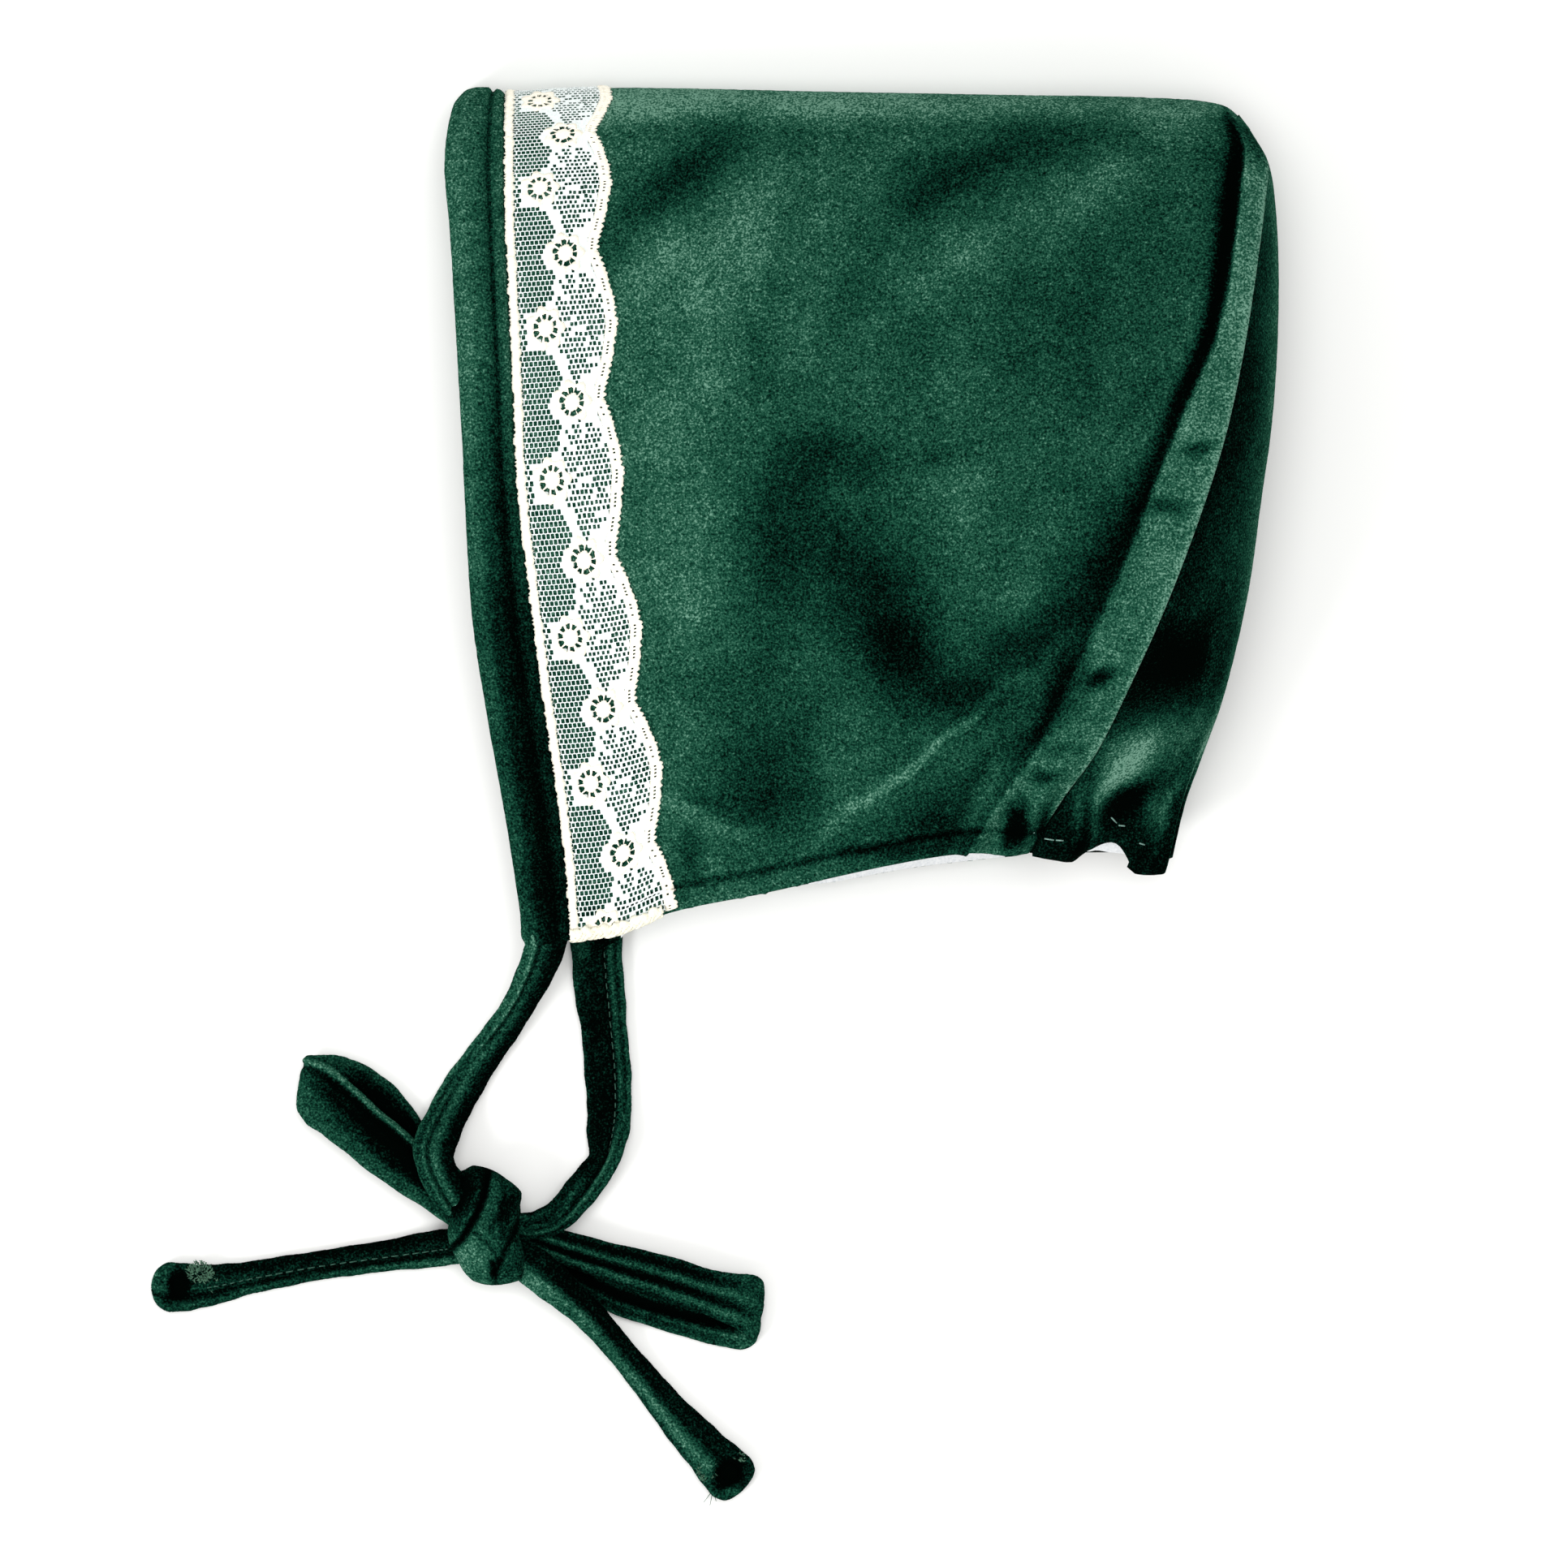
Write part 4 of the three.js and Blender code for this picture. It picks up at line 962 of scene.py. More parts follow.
# Nearly black painted shade, painted rim sheen and painted side light of the crown.
CROWN_PAINTED_SHADE = 0.02
CROWN_RIM_PAINTED_SHEEN = 0.68
CROWN_PAINTED_SIDE_LIGHT = 0.1
CROWN_RIM_LINE = {"y": (-15, 130), "x": (70, 95)}
LINING_SLACK = 0.7


def crown_place(u, v):
    """The crown starts a hair inside the fold and its seams, so it never cuts the side panel."""
    return crown_point(u * 0.998 + 0.002, 0.006 + 0.988 * v)


def crown_pile_and_painted_light(points, normals, u, v):
    # Painted sheen where the crown's face turns steep, beyond the rim line.
    rim = smoothstep(1 - np.abs(normals[:, 2]), 0.35, 0.95)
    rim_line = np.interp(points[:, 1], CROWN_RIM_LINE["y"], CROWN_RIM_LINE["x"])
    outer = smoothstep(points[:, 0] - rim_line, 0, 6)
    lean = CROWN_PAINTED_SHADE + tone_marks(points, CROWN_PILE_LIGHT_AND_SHADE_MARKS) + CROWN_RIM_PAINTED_SHEEN * rim * outer
    # Painted side light from the lower left.
    return lean + CROWN_PAINTED_SIDE_LIGHT * side_light(normals)


crown_shape = bent_grid(130, 110, crown_place)
crown_piece = finish_piece("velvet_crown", crown_shape, velvet, ["crown_panel"], VELVET_WALL)
lay_pile_and_painted_light(crown_piece, crown_pile_and_painted_light)


def crown_lining_place(u, v):
    hem = LINING_HEM * (1 - smoothstep(v, 0.4, 0.6))
    depth = (LINING_DEPTH + LINING_SLACK * smoothstep(u, 0.8, 1))[:, None]
    return inside(crown_point, crown_facing, 0.2 + (0.8 - hem) * u, 0.05 + 0.85 * v, depth)


crown_lining = finish_piece(
    "lining_crown", bent_grid(50, 30, crown_lining_place), cotton, ["crown_lining"], LINING_WALL
)

# %% [markdown]
# ## Face binding
# A strip of velvet is folded over the edge of the face opening and topstitched beside the lace. It is
# rounded, and the stitches pull a crease into it. Its tone table paints light on its left flank and shade in
# the crease and on the flank beside the lace.

# %% Face binding
BINDING_SIDES = 72
BINDING_RINGS = 300
BINDING_ACROSS = (-1, -0.6, -0.1, 0.33, 0.45, 0.57, 0.8, 1)
BINDING_STATIONS = (-30, 30, 55, 88, 130)
# Painted light on the face-side flank, painted shade in the crease and beside the lace.
BINDING_PILE_AND_PAINTED_LIGHT = (
    (0.42, 0.36, 0.0, -0.1, -0.1, 0.0, 0.1, 0.1),
    (0.5, 0.46, 0.12, -0.05, -0.1, 0.08, 0.16, 0.2),
    (0.56, 0.56, 0.36, 0.12, -0.05, 0.22, 0.34, 0.4),
    (0.6, 0.66, 0.54, 0.4, 0.1, 0.46, 0.57, 0.6),
    (0.6, 0.66, 0.6, 0.5, 0.2, 0.5, 0.56, 0.6),
)


def binding_place(u, v):
    wide, high = rounded_flat(u * 2 * math.pi)
    return binding_point(2 * v - 1, wide, high)


def binding_pile_and_painted_light(points, normals, u, v):
    wide, high = rounded_flat(u * 2 * math.pi)
    return tone_table(BINDING_PILE_AND_PAINTED_LIGHT, BINDING_STATIONS, BINDING_ACROSS, points[:, 1], wide)


binding_shape = tube(BINDING_SIDES, BINDING_RINGS, binding_place)
binding = finish_piece("velvet_binding", binding_shape, velvet, ["face_binding"])
lay_pile_and_painted_light(binding, binding_pile_and_painted_light, tuft_mm=0.06)

# %% [markdown]
# ## Where the lace lies
# The lace is sewn beside the band, from the under layer over the fold to the upper layer. We measure the
# length of that edge, so that a distance along the lace turns into a place on the velvet.

# %% Where the lace lies
EDGE_SAMPLES = 1201

edge_turns = np.linspace(-1, 1, EDGE_SAMPLES)
edge_points = side_point(np.zeros_like(edge_turns), edge_turns)
edge_lengths = np.concatenate([[0], np.cumsum(np.linalg.norm(np.diff(edge_points, axis=0), axis=1))])
edge_from_fold = edge_lengths - np.interp(0, edge_turns, edge_lengths)
print("Lace length in mm:", round(float(edge_lengths[-1]), 1))


def lace_point(from_fold, inward, height):
    """A point of the lace: distance from the fold, distance from the binding and height over the velvet."""
    turn = np.interp(from_fold, edge_from_fold, edge_turns)
    along = inward / panel_width(down_of(turn))
    return side_point(along, turn) + side_facing(along, turn) * np.asarray(height)[..., None]


# %% [markdown]
# ## Lace
# The lace is a machine-made edging, 28.6 mm from scallop to scallop. It has a net of hexagon holes along the
# sewn edge, a flower every half repeat, a broken filling inside each scallop and a thick rim with a dotted
# line. We chart one repeat flat: the net is made hexagon by hexagon, and a small function says how much
# thread each one has. The repeat is then copied along the edge and bent over the velvet.

# %% Chart of one lace repeat
NET_ROWS = 28
NET_ROW = SCALLOP_PITCH / NET_ROWS
NET_COLUMN = 0.85
NET_COLUMNS = 22
NET_POINT = 0.56
NET_START = 1.95
NET_THREAD = 0.095
SELVEDGE = 1.75
HALF_REPEAT = SCALLOP_PITCH / 2
FLOWERS = ((6.75, 0.0), (11.2, -HALF_REPEAT), (11.2, HALF_REPEAT))
FLOWER_SIZE = (3.4, 3.9)
SCALLOP_RIM = {
    "s": (-14.3, -12, -8.8, -4.3, 0, 5.7, 9.3, 11.9, 14.3),
    "w": (17.4, 18.2, 19.2, 20.1, 20.4, 19.4, 18.4, 17.7, 17.4),
}
NET_LIMIT = {
    "s": (-14.3, -12.5, -11.3, -9.3, -7.4, -5.4, -4.5, -3.5, -3.2, 3.9, 4.3, 5.3, 7.3, 9.4, 11.2, 13, 14.3),
    "w": (6.6, 6.8, 8.1, 9.0, 8.7, 7.9, 6.5, 5.7, 3.0, 3.0, 6.3, 7.9, 8.9, 9.6, 8.8, 7.6, 6.6),
}
LEAF_EYES = ((11.1, -8.6), (12.0, -10.6), (9.7, -4.7), (10.0, 4.3), (11.6, 7.7), (12.1, 9.6))
LEAF_SIZE = (0.35, 1.15)
FILLING = {"w": 13.9, "s": -0.6, "half_width": 4.4, "half_length": 9.6}
FILLING_SHARE = 0.88
NET_HEIGHT = 0.45
NET_FROM_RIM = 1.9
NET_IN_FLOWER = 0.72
JOIN_MM = 0.03
print("Net cells in a repeat, at most:", NET_ROWS * NET_COLUMNS)


def rim_of(s):
    """How far the scallop's rim lies from the sewn edge, at a place along the repeat."""
    return np.interp(s, SCALLOP_RIM["s"], SCALLOP_RIM["w"])


def thread_of(s, w, chance):
    """Thread on each side of a net cell's hole in mm, with how dense the cell looks; 0 means no hole."""
    if w < np.interp(s, NET_LIMIT["s"], NET_LIMIT["w"]):
        ragged = w < NET_START + NET_COLUMN
        return (NET_THREAD * chance.uniform(1.1, 2.0), 0.3) if ragged else (NET_THREAD, 0.0)
    for eye_w, eye_s in LEAF_EYES:
        away = math.hypot(w - eye_w, s - eye_s)
        if LEAF_SIZE[0] < away < LEAF_SIZE[1]:
            return chance.uniform(0.14, 0.2), 0.8
    from_middle = math.hypot(
        (w - FILLING["w"]) / FILLING["half_width"], (s - FILLING["s"]) / FILLING["half_length"]
    )
    if from_middle < 1:
        return (chance.uniform(0.13, 0.23) if chance.random() < FILLING_SHARE else 0.0), 0.25
    return 0.0, 1.0


def in_flower(s, w, share):
    """Whether a place lies within this share of a flower's size."""
    return any(
        math.hypot((w - middle_w) / FLOWER_SIZE[0], (s - middle_s) / FLOWER_SIZE[1]) < share
        for middle_w, middle_s in FLOWERS
    )


# %% [markdown]
# ## Net
# Each cell of the net is a hexagon, and insetting it leaves a rim of thread round a hole. Where the lace
# is dense the thread is thicker and the hole slips a little to one side, as in worn lace.

# %% Net of one repeat
def add_cell(shape, w, s):
    """A six-sided cell of the net, longer along the lace than across it."""
    place = Matrix.Translation((w, -s, NET_HEIGHT)) @ Matrix.Diagonal(
        (NET_COLUMN / math.sqrt(3), NET_ROW / 1.5, 1, 1)
    )
    corners = bmesh.ops.create_circle(shape, cap_ends=True, segments=6, radius=1, matrix=place)["verts"]
    for corner in corners:
        away = corner.co.y + s
        reach = NET_POINT if abs(away) > NET_ROW / 2 else NET_ROW - NET_POINT
        corner.co.y = math.copysign(reach, away) - s
    return corners


def net_repeat():
    """The net of one repeat, hexagon by hexagon."""
    chance = np.random.default_rng(7)
    shape = bmesh.new()
    holes = []
    for row in range(NET_ROWS):
        s = (row + 0.5 - NET_ROWS / 2) * NET_ROW
        for column in range(NET_COLUMNS):
            w = NET_START + NET_COLUMN * (column + 0.5 * (row % 2))
            if w > rim_of(s) - NET_FROM_RIM or in_flower(s, w, NET_IN_FLOWER):
                continue
            face = add_cell(shape, w, s)[0].link_faces[0]
            thread, density = thread_of(s, w, chance)
            if thread:
                bmesh.ops.inset_individual(shape, faces=[face], thickness=thread)
                if density > 0:
                    slip = Vector((chance.uniform(-0.09, 0.09), chance.uniform(-0.09, 0.09), 0))
                    for corner in face.verts:
                        corner.co += slip * chance.uniform(0.4, 1.6)
                holes.append(face)
    bmesh.ops.delete(shape, geom=holes, context="FACES_ONLY")
    bmesh.ops.remove_doubles(shape, verts=shape.verts, dist=JOIN_MM)
    return shape


# %% [markdown]
# ## Flowers, rim and selvedge
# The thicker parts of the repeat stand a little over the net. A flower is a disc with a ring of small
# holes round its middle. The rim and the sewn edge are narrow strips whose outer corners are uneven.
# Random values are given out in a fixed order, so every run makes the same lace.

# %% Flowers, rim and selvedge of one repeat
FLOWER_SEGMENTS = 40
PETAL = 4
RIM_ROWS = 84
RIM_STEPS = (2.2, 1.5, 1.0, 0.0)
DOT_GROUP = 12
DOTS_IN_GROUP = 8
OPEN_DOTS = 0.9
FLOWER_HEIGHT = 0.66
RING_JITTER = 0.05


def add_flower(shape, middle_w, middle_s, chance):
    """A flower: a ragged disc with a ring of small holes round a solid, slightly raised middle."""
    outer = bmesh.ops.create_circle(shape, cap_ends=True, segments=FLOWER_SEGMENTS, radius=1)["verts"]
    face = outer[0].link_faces[0]
    leaf = bmesh.ops.inset_individual(shape, faces=[face], thickness=0.3)["faces"]
    ring = bmesh.ops.inset_individual(shape, faces=[face], thickness=0.27)["faces"]
    eye = bmesh.ops.inset_individual(shape, faces=[face], thickness=0.2)["faces"]
    for corner in face.verts:
        corner.co.z += 0.22
    holes = []
    for part in ring:
        middle = part.calc_center_median()
        turn = math.atan2(middle.y, middle.x) / (2 * math.pi) + 1
        if int(turn * FLOWER_SEGMENTS) % PETAL:
            holes.append(part)
    corners = {corner for part in (*leaf, *ring, *eye) for corner in part.verts}
    for corner in dict.fromkeys(corner for part in ring for corner in part.verts):
        slip = [chance.uniform(-RING_JITTER, RING_JITTER) for _ in range(2)]
        corner.co += Vector((*slip, 0))
    for corner in outer:
        corner.co *= 1 + 0.15 * math.cos(7 * math.atan2(corner.co.y, corner.co.x))
    for corner in corners:
        x, y, z = corner.co
        corner.co = (middle_w + FLOWER_SIZE[0] * x, FLOWER_SIZE[1] * y - middle_s, FLOWER_HEIGHT + z)
    bmesh.ops.delete(shape, geom=holes, context="FACES_ONLY")


def relief_repeat():
    """The flowers, the dotted rim and the sewn edge of one repeat."""
    chance = np.random.default_rng(11)
    shape = bmesh.new()
    for middle_w, middle_s in FLOWERS[:2]:
        add_flower(shape, middle_w, middle_s, chance)
    strip = bmesh.ops.create_grid(shape, x_segments=3, y_segments=RIM_ROWS, size=0.5)["verts"]
    dots = []
    for face in dict.fromkeys(face for corner in strip for face in corner.link_faces):
        middle = face.calc_center_median()
        row = int((middle.y + 0.5) * RIM_ROWS)
        on_dots = abs(middle.x) < 0.1 and row % 2 and row % DOT_GROUP < DOTS_IN_GROUP
        if on_dots and chance.random() < OPEN_DOTS:
            dots.append(face)
    for corner in strip:
        column = round((corner.co.x + 0.5) * 3)
        s = -corner.co.y * SCALLOP_PITCH
        picot = 0.2 * math.sin(2 * math.pi * s / 1.1) + chance.uniform(-0.25, 0.25)
        corner.co.x = rim_of(s) - RIM_STEPS[column] + (picot if column == 3 else 0.0)
        corner.co.y = -s
        corner.co.z = (0.42, 0.62, 0.62, 0.5)[column]
    bmesh.ops.delete(shape, geom=dots, context="FACES_ONLY")
    sewn = bmesh.ops.create_grid(shape, x_segments=3, y_segments=RIM_ROWS, size=0.5)["verts"]
    for corner in sewn:
        column = round((corner.co.x + 0.5) * 3)
        s = -corner.co.y * SCALLOP_PITCH
        ragged = chance.uniform(-0.28, 0.28) if column in (0, 3) else 0.0
        corner.co.x = SELVEDGE * column / 3 + ragged
        corner.co.y = -s
        corner.co.z = (0.4, 0.75, 0.75, 0.5)[column] + chance.uniform(-0.1, 0.1)
    return shape


# %% [markdown]
# ## Copies along the edge
# The lace is eased round the fold, so its scallops aren't evenly spaced on the bonnet. A small table says
# where each place of the flat lace lies, in millimetres from the fold. The under layer's lace and the
# upper layer's are separate pieces, so that neither one gets too heavy.

# %% Copies of the repeat along the edge
LACE_EASE = {
    "flat": (
        *(-178, -28.6, -14.3, 0, 14.3, 28.6, 42.9, 57.2),
        *(71.5, 85.8, 100.1, 114.4, 128.7, 143, 157.3, 172.6),
    ),
    "laid": (-167.4, -19, -4.5, 6.7, 14.8, 25.6, 38.8, 53, 67.4, 81.8, 97.8, 112.4, 127, 141, 155.5, 170.6),
}


def lace_length(name, repeat, first, last, start, end, material, thickness):
    """Copies a flat repeat from number first to last, cuts it at both ends and bends it onto the bonnet."""
    tile = bpy.data.meshes.new("tile")
    repeat.to_mesh(tile)
    whole = bmesh.new()
    for number in range(first, last + 1):
        before = len(whole.verts)
        whole.from_mesh(tile)
        whole.verts.ensure_lookup_table()
        bmesh.ops.translate(whole, verts=whole.verts[before:], vec=(0, -number * SCALLOP_PITCH, 0))
    bmesh.ops.remove_doubles(whole, verts=whole.verts, dist=JOIN_MM)
    for at, side in ((start, 1), (end, -1)):
        bmesh.ops.bisect_plane(
            whole,
            geom=[*whole.verts, *whole.edges, *whole.faces],
            plane_co=(0, -at, 0),
            plane_no=(0, side, 0),
            clear_outer=True,
        )
    flat = np.array([corner.co[:] for corner in whole.verts])
    from_fold = np.interp(-flat[:, 1], LACE_EASE["flat"], LACE_EASE["laid"])
    bent = to_frame(lace_point(from_fold, flat[:, 0], GAP + flat[:, 2] - 0.3))
    for corner, point in zip(whole.verts, bent):
        corner.co = point
    bpy.data.meshes.remove(tile)
    return finish_piece(name, whole, material, ["lace_trim"], thickness)


net = net_repeat()
relief = relief_repeat()
print("One repeat has", len(net.faces) + len(relief.faces), "faces")
for side, first, last, start, end in (("under", -7, -1, -178, -7), ("upper", -1, 6, -7, 172.2)):
    for kind, repeat, thickness in (("net", net.copy(), 0.2), ("relief", relief.copy(), 0.35)):
        name = f"lace_{kind}_{side}"
        lace_length(
            name, repeat, first, last, start, end, lace_net if kind == "net" else lace_thread, thickness
        )
net.free()
relief.free()

# %% [markdown]
# At the neck the lace is turned under once and sewn down, so its end is a dense band of two layers with
# a bumpy edge, a little yellower than the rest.

# %% Turned end of the lace
TURNED_END = {"from": 168.6, "to": 171, "width": 17.5}


def turned_end_place(u, v):
    """Across the lace by u and along it by v, with sines of unlike lengths for its uneven edges."""
    from_fold = mix(TURNED_END["from"], TURNED_END["to"], v) + 0.25 * np.sin(u * 47) * np.cos(u * 13 + 1)
    from_fold = from_fold + v * (0.35 * np.sin(u * 17) + 1.1 * (1 - smoothstep(u, 0.05, 0.09)))
    bumps = 0.3 * np.sin(u * 71 + 5 * v) * np.cos(u * 29 + v * 9)
    rounded = 0.5 * np.sqrt(np.clip(1 - (2 * v - 1) ** 2, 0, 1))
    return lace_point(from_fold, 0.2 + TURNED_END["width"] * u, 0.7 + rounded + bumps)


lace_end = finish_piece(
    "lace_turned_end", bent_grid(90, 10, turned_end_place), turned_lace, ["lace_trim"], 0.4
)

# %% [markdown]
# ## Ties and bow
# Each tie is a strip of velvet folded lengthwise and stitched, about 9 mm wide. We sweep a flat, rounded
# section along a smooth path, measured from the photograph in millimetres. Each loop of the bow goes out in
# one layer and comes back in the other, folded over at its tip. The folds of a strap are low ridges and
# grooves across its section, and another small table gives the lean of its pile together with painted light
# on the flank towards the lamp and painted shade on the other.

# %% Paths of the ties and the bow
TIE_THICKNESS = 2.6
LOOP_THICKNESS = 1.8

NEAR_TIE = {
    "x": (-32.9, -32.8, -33.1, -36, -39.6, -44.7, -49.5, -52.9, -54.2, -53.6, -51.5, -48.5),
    "y": (-23.4, -27.4, -30.8, -37.5, -43.8, -50.9, -58.2, -65, -68.9, -72.6, -77, -81.8),
    "z": (12.4, 12.2, 11.2, 8, 5, 2.6, 2.3, 5.2, 7, 8, 8.2, 7.4),
    "width": (9.2, 9.2, 7.8, 6.8, 6.2, 6.8, 7.5, 8, 8, 7.4, 6.8, 6),
    "roll": (0, 0, -8, -16, -14, -8, -4, 0, 0, 0, 0, 0),
}
FAR_TIE = {
    "x": (-23.2, -23.2, -22.7, -21.8, -21, -20.7, -21, -21.6, -24, -26.9, -30, -33.9, -38),
    "y": (-24.3, -28.3, -37, -44.7, -53.7, -61.5, -66.4, -70.6, -74.2, -77.8, -81.2, -83.2, -83.5),
    "z": (1.6, 1.5, 1.5, 1.5, 1.5, 1.6, 2.4, 3.4, 4, 4.4, 5, 6, 6.6),
    "width": (9.9, 9.9, 9.7, 9, 8.8, 8.6, 8.2, 7, 6.6, 6.6, 6, 5.6, 5),
    "roll": (0, 0, 0, 0, 0, 6, 20, 34, 24, 12, 4, 0, 0),
}
LEFT_LOOP = {
    "x": (-46, -52, -57.3, -66, -73, -77.2, -79.3, -77.4, -73, -68.6, -65, -61.2, -56.6, -51, -46),
    "y": (-83.5, -78.3, -73.9, -66.9, -61, -57.8, -56.2, -55.8, -56.2, -57.8, -60.6, -65, -70.8, -76.4, -82),
    "z": (7, 5.6, 4.8, 4.6, 4.5, 4.2, 2.8, 1.4, 1.1, 1.1, 1.1, 1.1, 1.2, 2.2, 4),
    "width": (6, 7.6, 9.4, 10.6, 11.4, 11.8, 10.6, 10.4, 10.4, 10, 9.8, 9.4, 8.4, 7, 6),
    "roll": (0, 0, 4, 8, 8, 4, 0, 0, 0, 0, 0, 0, 0, 0, 0),
    "heading": (141, 141, 141, 142, 150, 162, 170, 166, 156, 148, 142, 138, 136, 138, 141),
}
RIGHT_LOOP = {
    "x": (-40, -33, -26, -18, -8, 0, 5, 7.8, 5.6, 0, -9, -19, -27, -34, -40),
    "y": (
        *(-84.5, -88.8, -92.6, -96.3, -99.4, -101.3, -102, -100.2),
        *(-98.4, -96.7, -93.7, -90.8, -88.4, -86, -83.5),
    ),
    "z": (4, 2.2, 1.2, 1.1, 1.1, 1.1, 1.3, 2.8, 4.2, 4.5, 4.4, 4, 4, 5, 6),
    "width": (5, 6.4, 7.8, 9, 9.6, 10, 10.8, 12, 11, 9, 8.2, 7.4, 6.6, 5.6, 5),
    "roll": (0, 0, 0, 0, 0, 0, 0, 0, 0, 0, 0, 0, 0, 0, 0),
    "heading": (-17, -17, -17, -16, -15, -12, -8, -8, -8, -12, -15, -16, -17, -17, -17),
}
LEFT_END = {
    "x": (-46, -50.1, -53.7, -64.7, -76.5, -88.4, -96.3, -101, -105.6, -108.4),
    "y": (-86.6, -87.4, -87.9, -89.5, -91.2, -93.3, -94.8, -95.3, -95.3, -95.3),
    "z": (3.4, 2.4, 1.6, 1.45, 1.45, 1.45, 1.6, 1.9, 1.9, 1.7),
    "width": (6, 7, 7, 5.9, 5.6, 6.2, 7.6, 9, 9.2, 8),
    "roll": (0, 0, 0, 2, 4, 3, 0, 0, 0, 0),
}
RIGHT_END = {
    "x": (-42.5, -38.5, -33.6, -28.9, -24.3, -15.7, -8.1, -3.3, 1, 3.8, 5),
    "y": (-86, -88.9, -92.6, -96.7, -100.8, -110.9, -120.1, -125.3, -129.9, -132.8, -134),
    "z": (8, 7.4, 6.4, 5.6, 4.6, 1.5, 1.45, 1.6, 2, 2, 1.8),
    "width": (6.6, 7.4, 7.6, 6.8, 6, 5.6, 7.2, 8.4, 9.8, 10, 10),
    "roll": (0, 0, -4, -8, -8, -4, 0, 0, 0, 0, 0),
}

# %% [markdown]
# ## Folds, pile and painted light of the straps
# A fold is written as its place across the strap, its height in millimetres and its width. A tone table has
# a row for each station along the strap and a column for each place across it; it holds the lean of the pile
# together with painted light and shade. The two loose ends open into a mouth at their tips, which is a
# hollow with a place, a size and a depth.

# %% Folds, pile and painted light of the ties and the bow
# Each tone table holds the pile's lean with painted light on the flank towards the lamp and painted shade on
# the other.
PILE_ACROSS = (-1, -0.6, -0.2, 0.2, 0.6, 1)
NEAR_TIE_LOOK = {
    "folds": ((-0.5, 0.55, 0.12), (-0.28, -0.5, 0.1), (0.1, 0.3, 0.2)),
    "stations": (0, 0.3, 0.5, 0.6, 0.75, 1),
    "pile_and_shading": (
        (0.42, 0.42, 0.26, 0.02, -0.05, -0.05),
        (0.5, 0.46, 0.34, 0.06, -0.05, -0.05),
        (0.56, 0.26, 0.5, 0.2, -0.02, -0.05),
        (0.56, 0.2, 0.52, 0.3, 0.0, -0.05),
        (0.4, 0.2, 0.5, 0.36, 0.02, -0.05),
        (0.2, 0.3, 0.46, 0.36, 0.0, -0.05),
    ),
    "mouth": None,
}
FAR_TIE_LOOK = {
    "folds": ((0.3, -0.55, 0.07), (0.55, 0.35, 0.12), (0.75, -0.35, 0.08)),
    "stations": (0, 0.15, 0.35, 0.65, 0.8, 0.9, 1),
    "pile_and_shading": (
        (0.36, 0.36, 0.2, 0.2, 0.34, 0.5),
        (0.2, 0.06, 0.0, 0.1, 0.32, 0.5),
        (0.1, -0.04, -0.05, 0.0, 0.3, 0.5),
        (0.02, -0.05, -0.05, 0.02, 0.4, 0.42),
        (0.1, 0.05, 0.36, 0.1, 0.42, 0.3),
        (0.1, 0.36, 0.08, 0.44, 0.3, 0.2),
        (0.1, 0.42, 0.1, 0.44, 0.25, 0.1),
    ),
    "mouth": None,
}
LEFT_LOOP_LOOK = {
    "folds": ((-0.84, 0.7, 0.1), (-0.62, -0.5, 0.12)),
    "stations": (0, 0.15, 0.27, 0.36, 0.44, 0.5, 0.56, 0.62, 0.75, 1),
    "pile_and_shading": (
        (0.3, -0.2, -0.25, -0.1, 0.36, 0.44),
        (0.5, -0.2, -0.3, -0.12, 0.4, 0.46),
        (0.62, -0.1, -0.25, 0.1, 0.44, 0.48),
        (0.62, 0.1, 0.0, 0.36, 0.46, 0.48),
        (0.56, 0.36, 0.36, 0.44, 0.48, 0.48),
        (0.5, 0.42, 0.4, 0.4, 0.4, 0.4),
        (0.5, 0.36, 0.3, 0.1, -0.05, -0.1),
        (0.5, 0.1, -0.2, -0.3, -0.3, -0.3),
        (0.46, -0.1, -0.4, -0.4, -0.3, -0.3),
        (0.3, -0.2, -0.4, -0.4, -0.3, -0.3),
    ),
    "mouth": None,
}
RIGHT_LOOP_LOOK = {
    "folds": ((0.22, 0.7, 0.12), (-0.14, -0.7, 0.12), (-0.52, 0.6, 0.12)),
    "stations": (0, 0.15, 0.3, 0.4, 0.46, 0.52, 0.58, 0.66, 1),
    "pile_and_shading": (
        (0.1, -0.1, -0.15, -0.1, 0.1, 0.2),
        (0.2, -0.1, -0.15, -0.1, 0.0, 0.1),
        (0.38, 0.02, -0.15, -0.1, 0.0, 0.0),
        (0.42, 0.2, 0.0, -0.05, 0.0, 0.1),
        (0.46, 0.44, 0.36, 0.3, 0.3, 0.3),
        (0.46, 0.48, 0.46, 0.46, 0.44, 0.4),
        (0.2, 0.5, 0.1, 0.52, 0.2, 0.42),
        (0.1, 0.5, -0.15, 0.52, -0.12, 0.34),
        (0.0, 0.44, -0.2, 0.46, -0.15, 0.24),
    ),
    "mouth": None,
}
LEFT_END_LOOK = {
    "folds": ((0.05, 0.3, 0.1), (0.4, -0.45, 0.09), (0.72, 0.3, 0.12)),
    "stations": (0, 0.15, 0.4, 0.75, 0.86, 0.93, 1),
    "pile_and_shading": (
        (0.0, -0.03, 0.12, 0.0, 0.4, 0.42),
        (-0.02, -0.03, 0.16, 0.0, 0.42, 0.42),
        (0.0, -0.02, 0.14, 0.0, 0.24, 0.34),
        (0.1, 0.0, 0.16, 0.16, 0.16, 0.3),
        (0.3, 0.1, 0.1, 0.1, 0.16, 0.3),
        (0.42, 0.4, 0.36, 0.26, 0.26, 0.3),
        (0.42, 0.42, 0.42, 0.4, 0.36, 0.36),
    ),
    "mouth": (0.875, -0.1, 0.04, 0.55, 1.5),
}
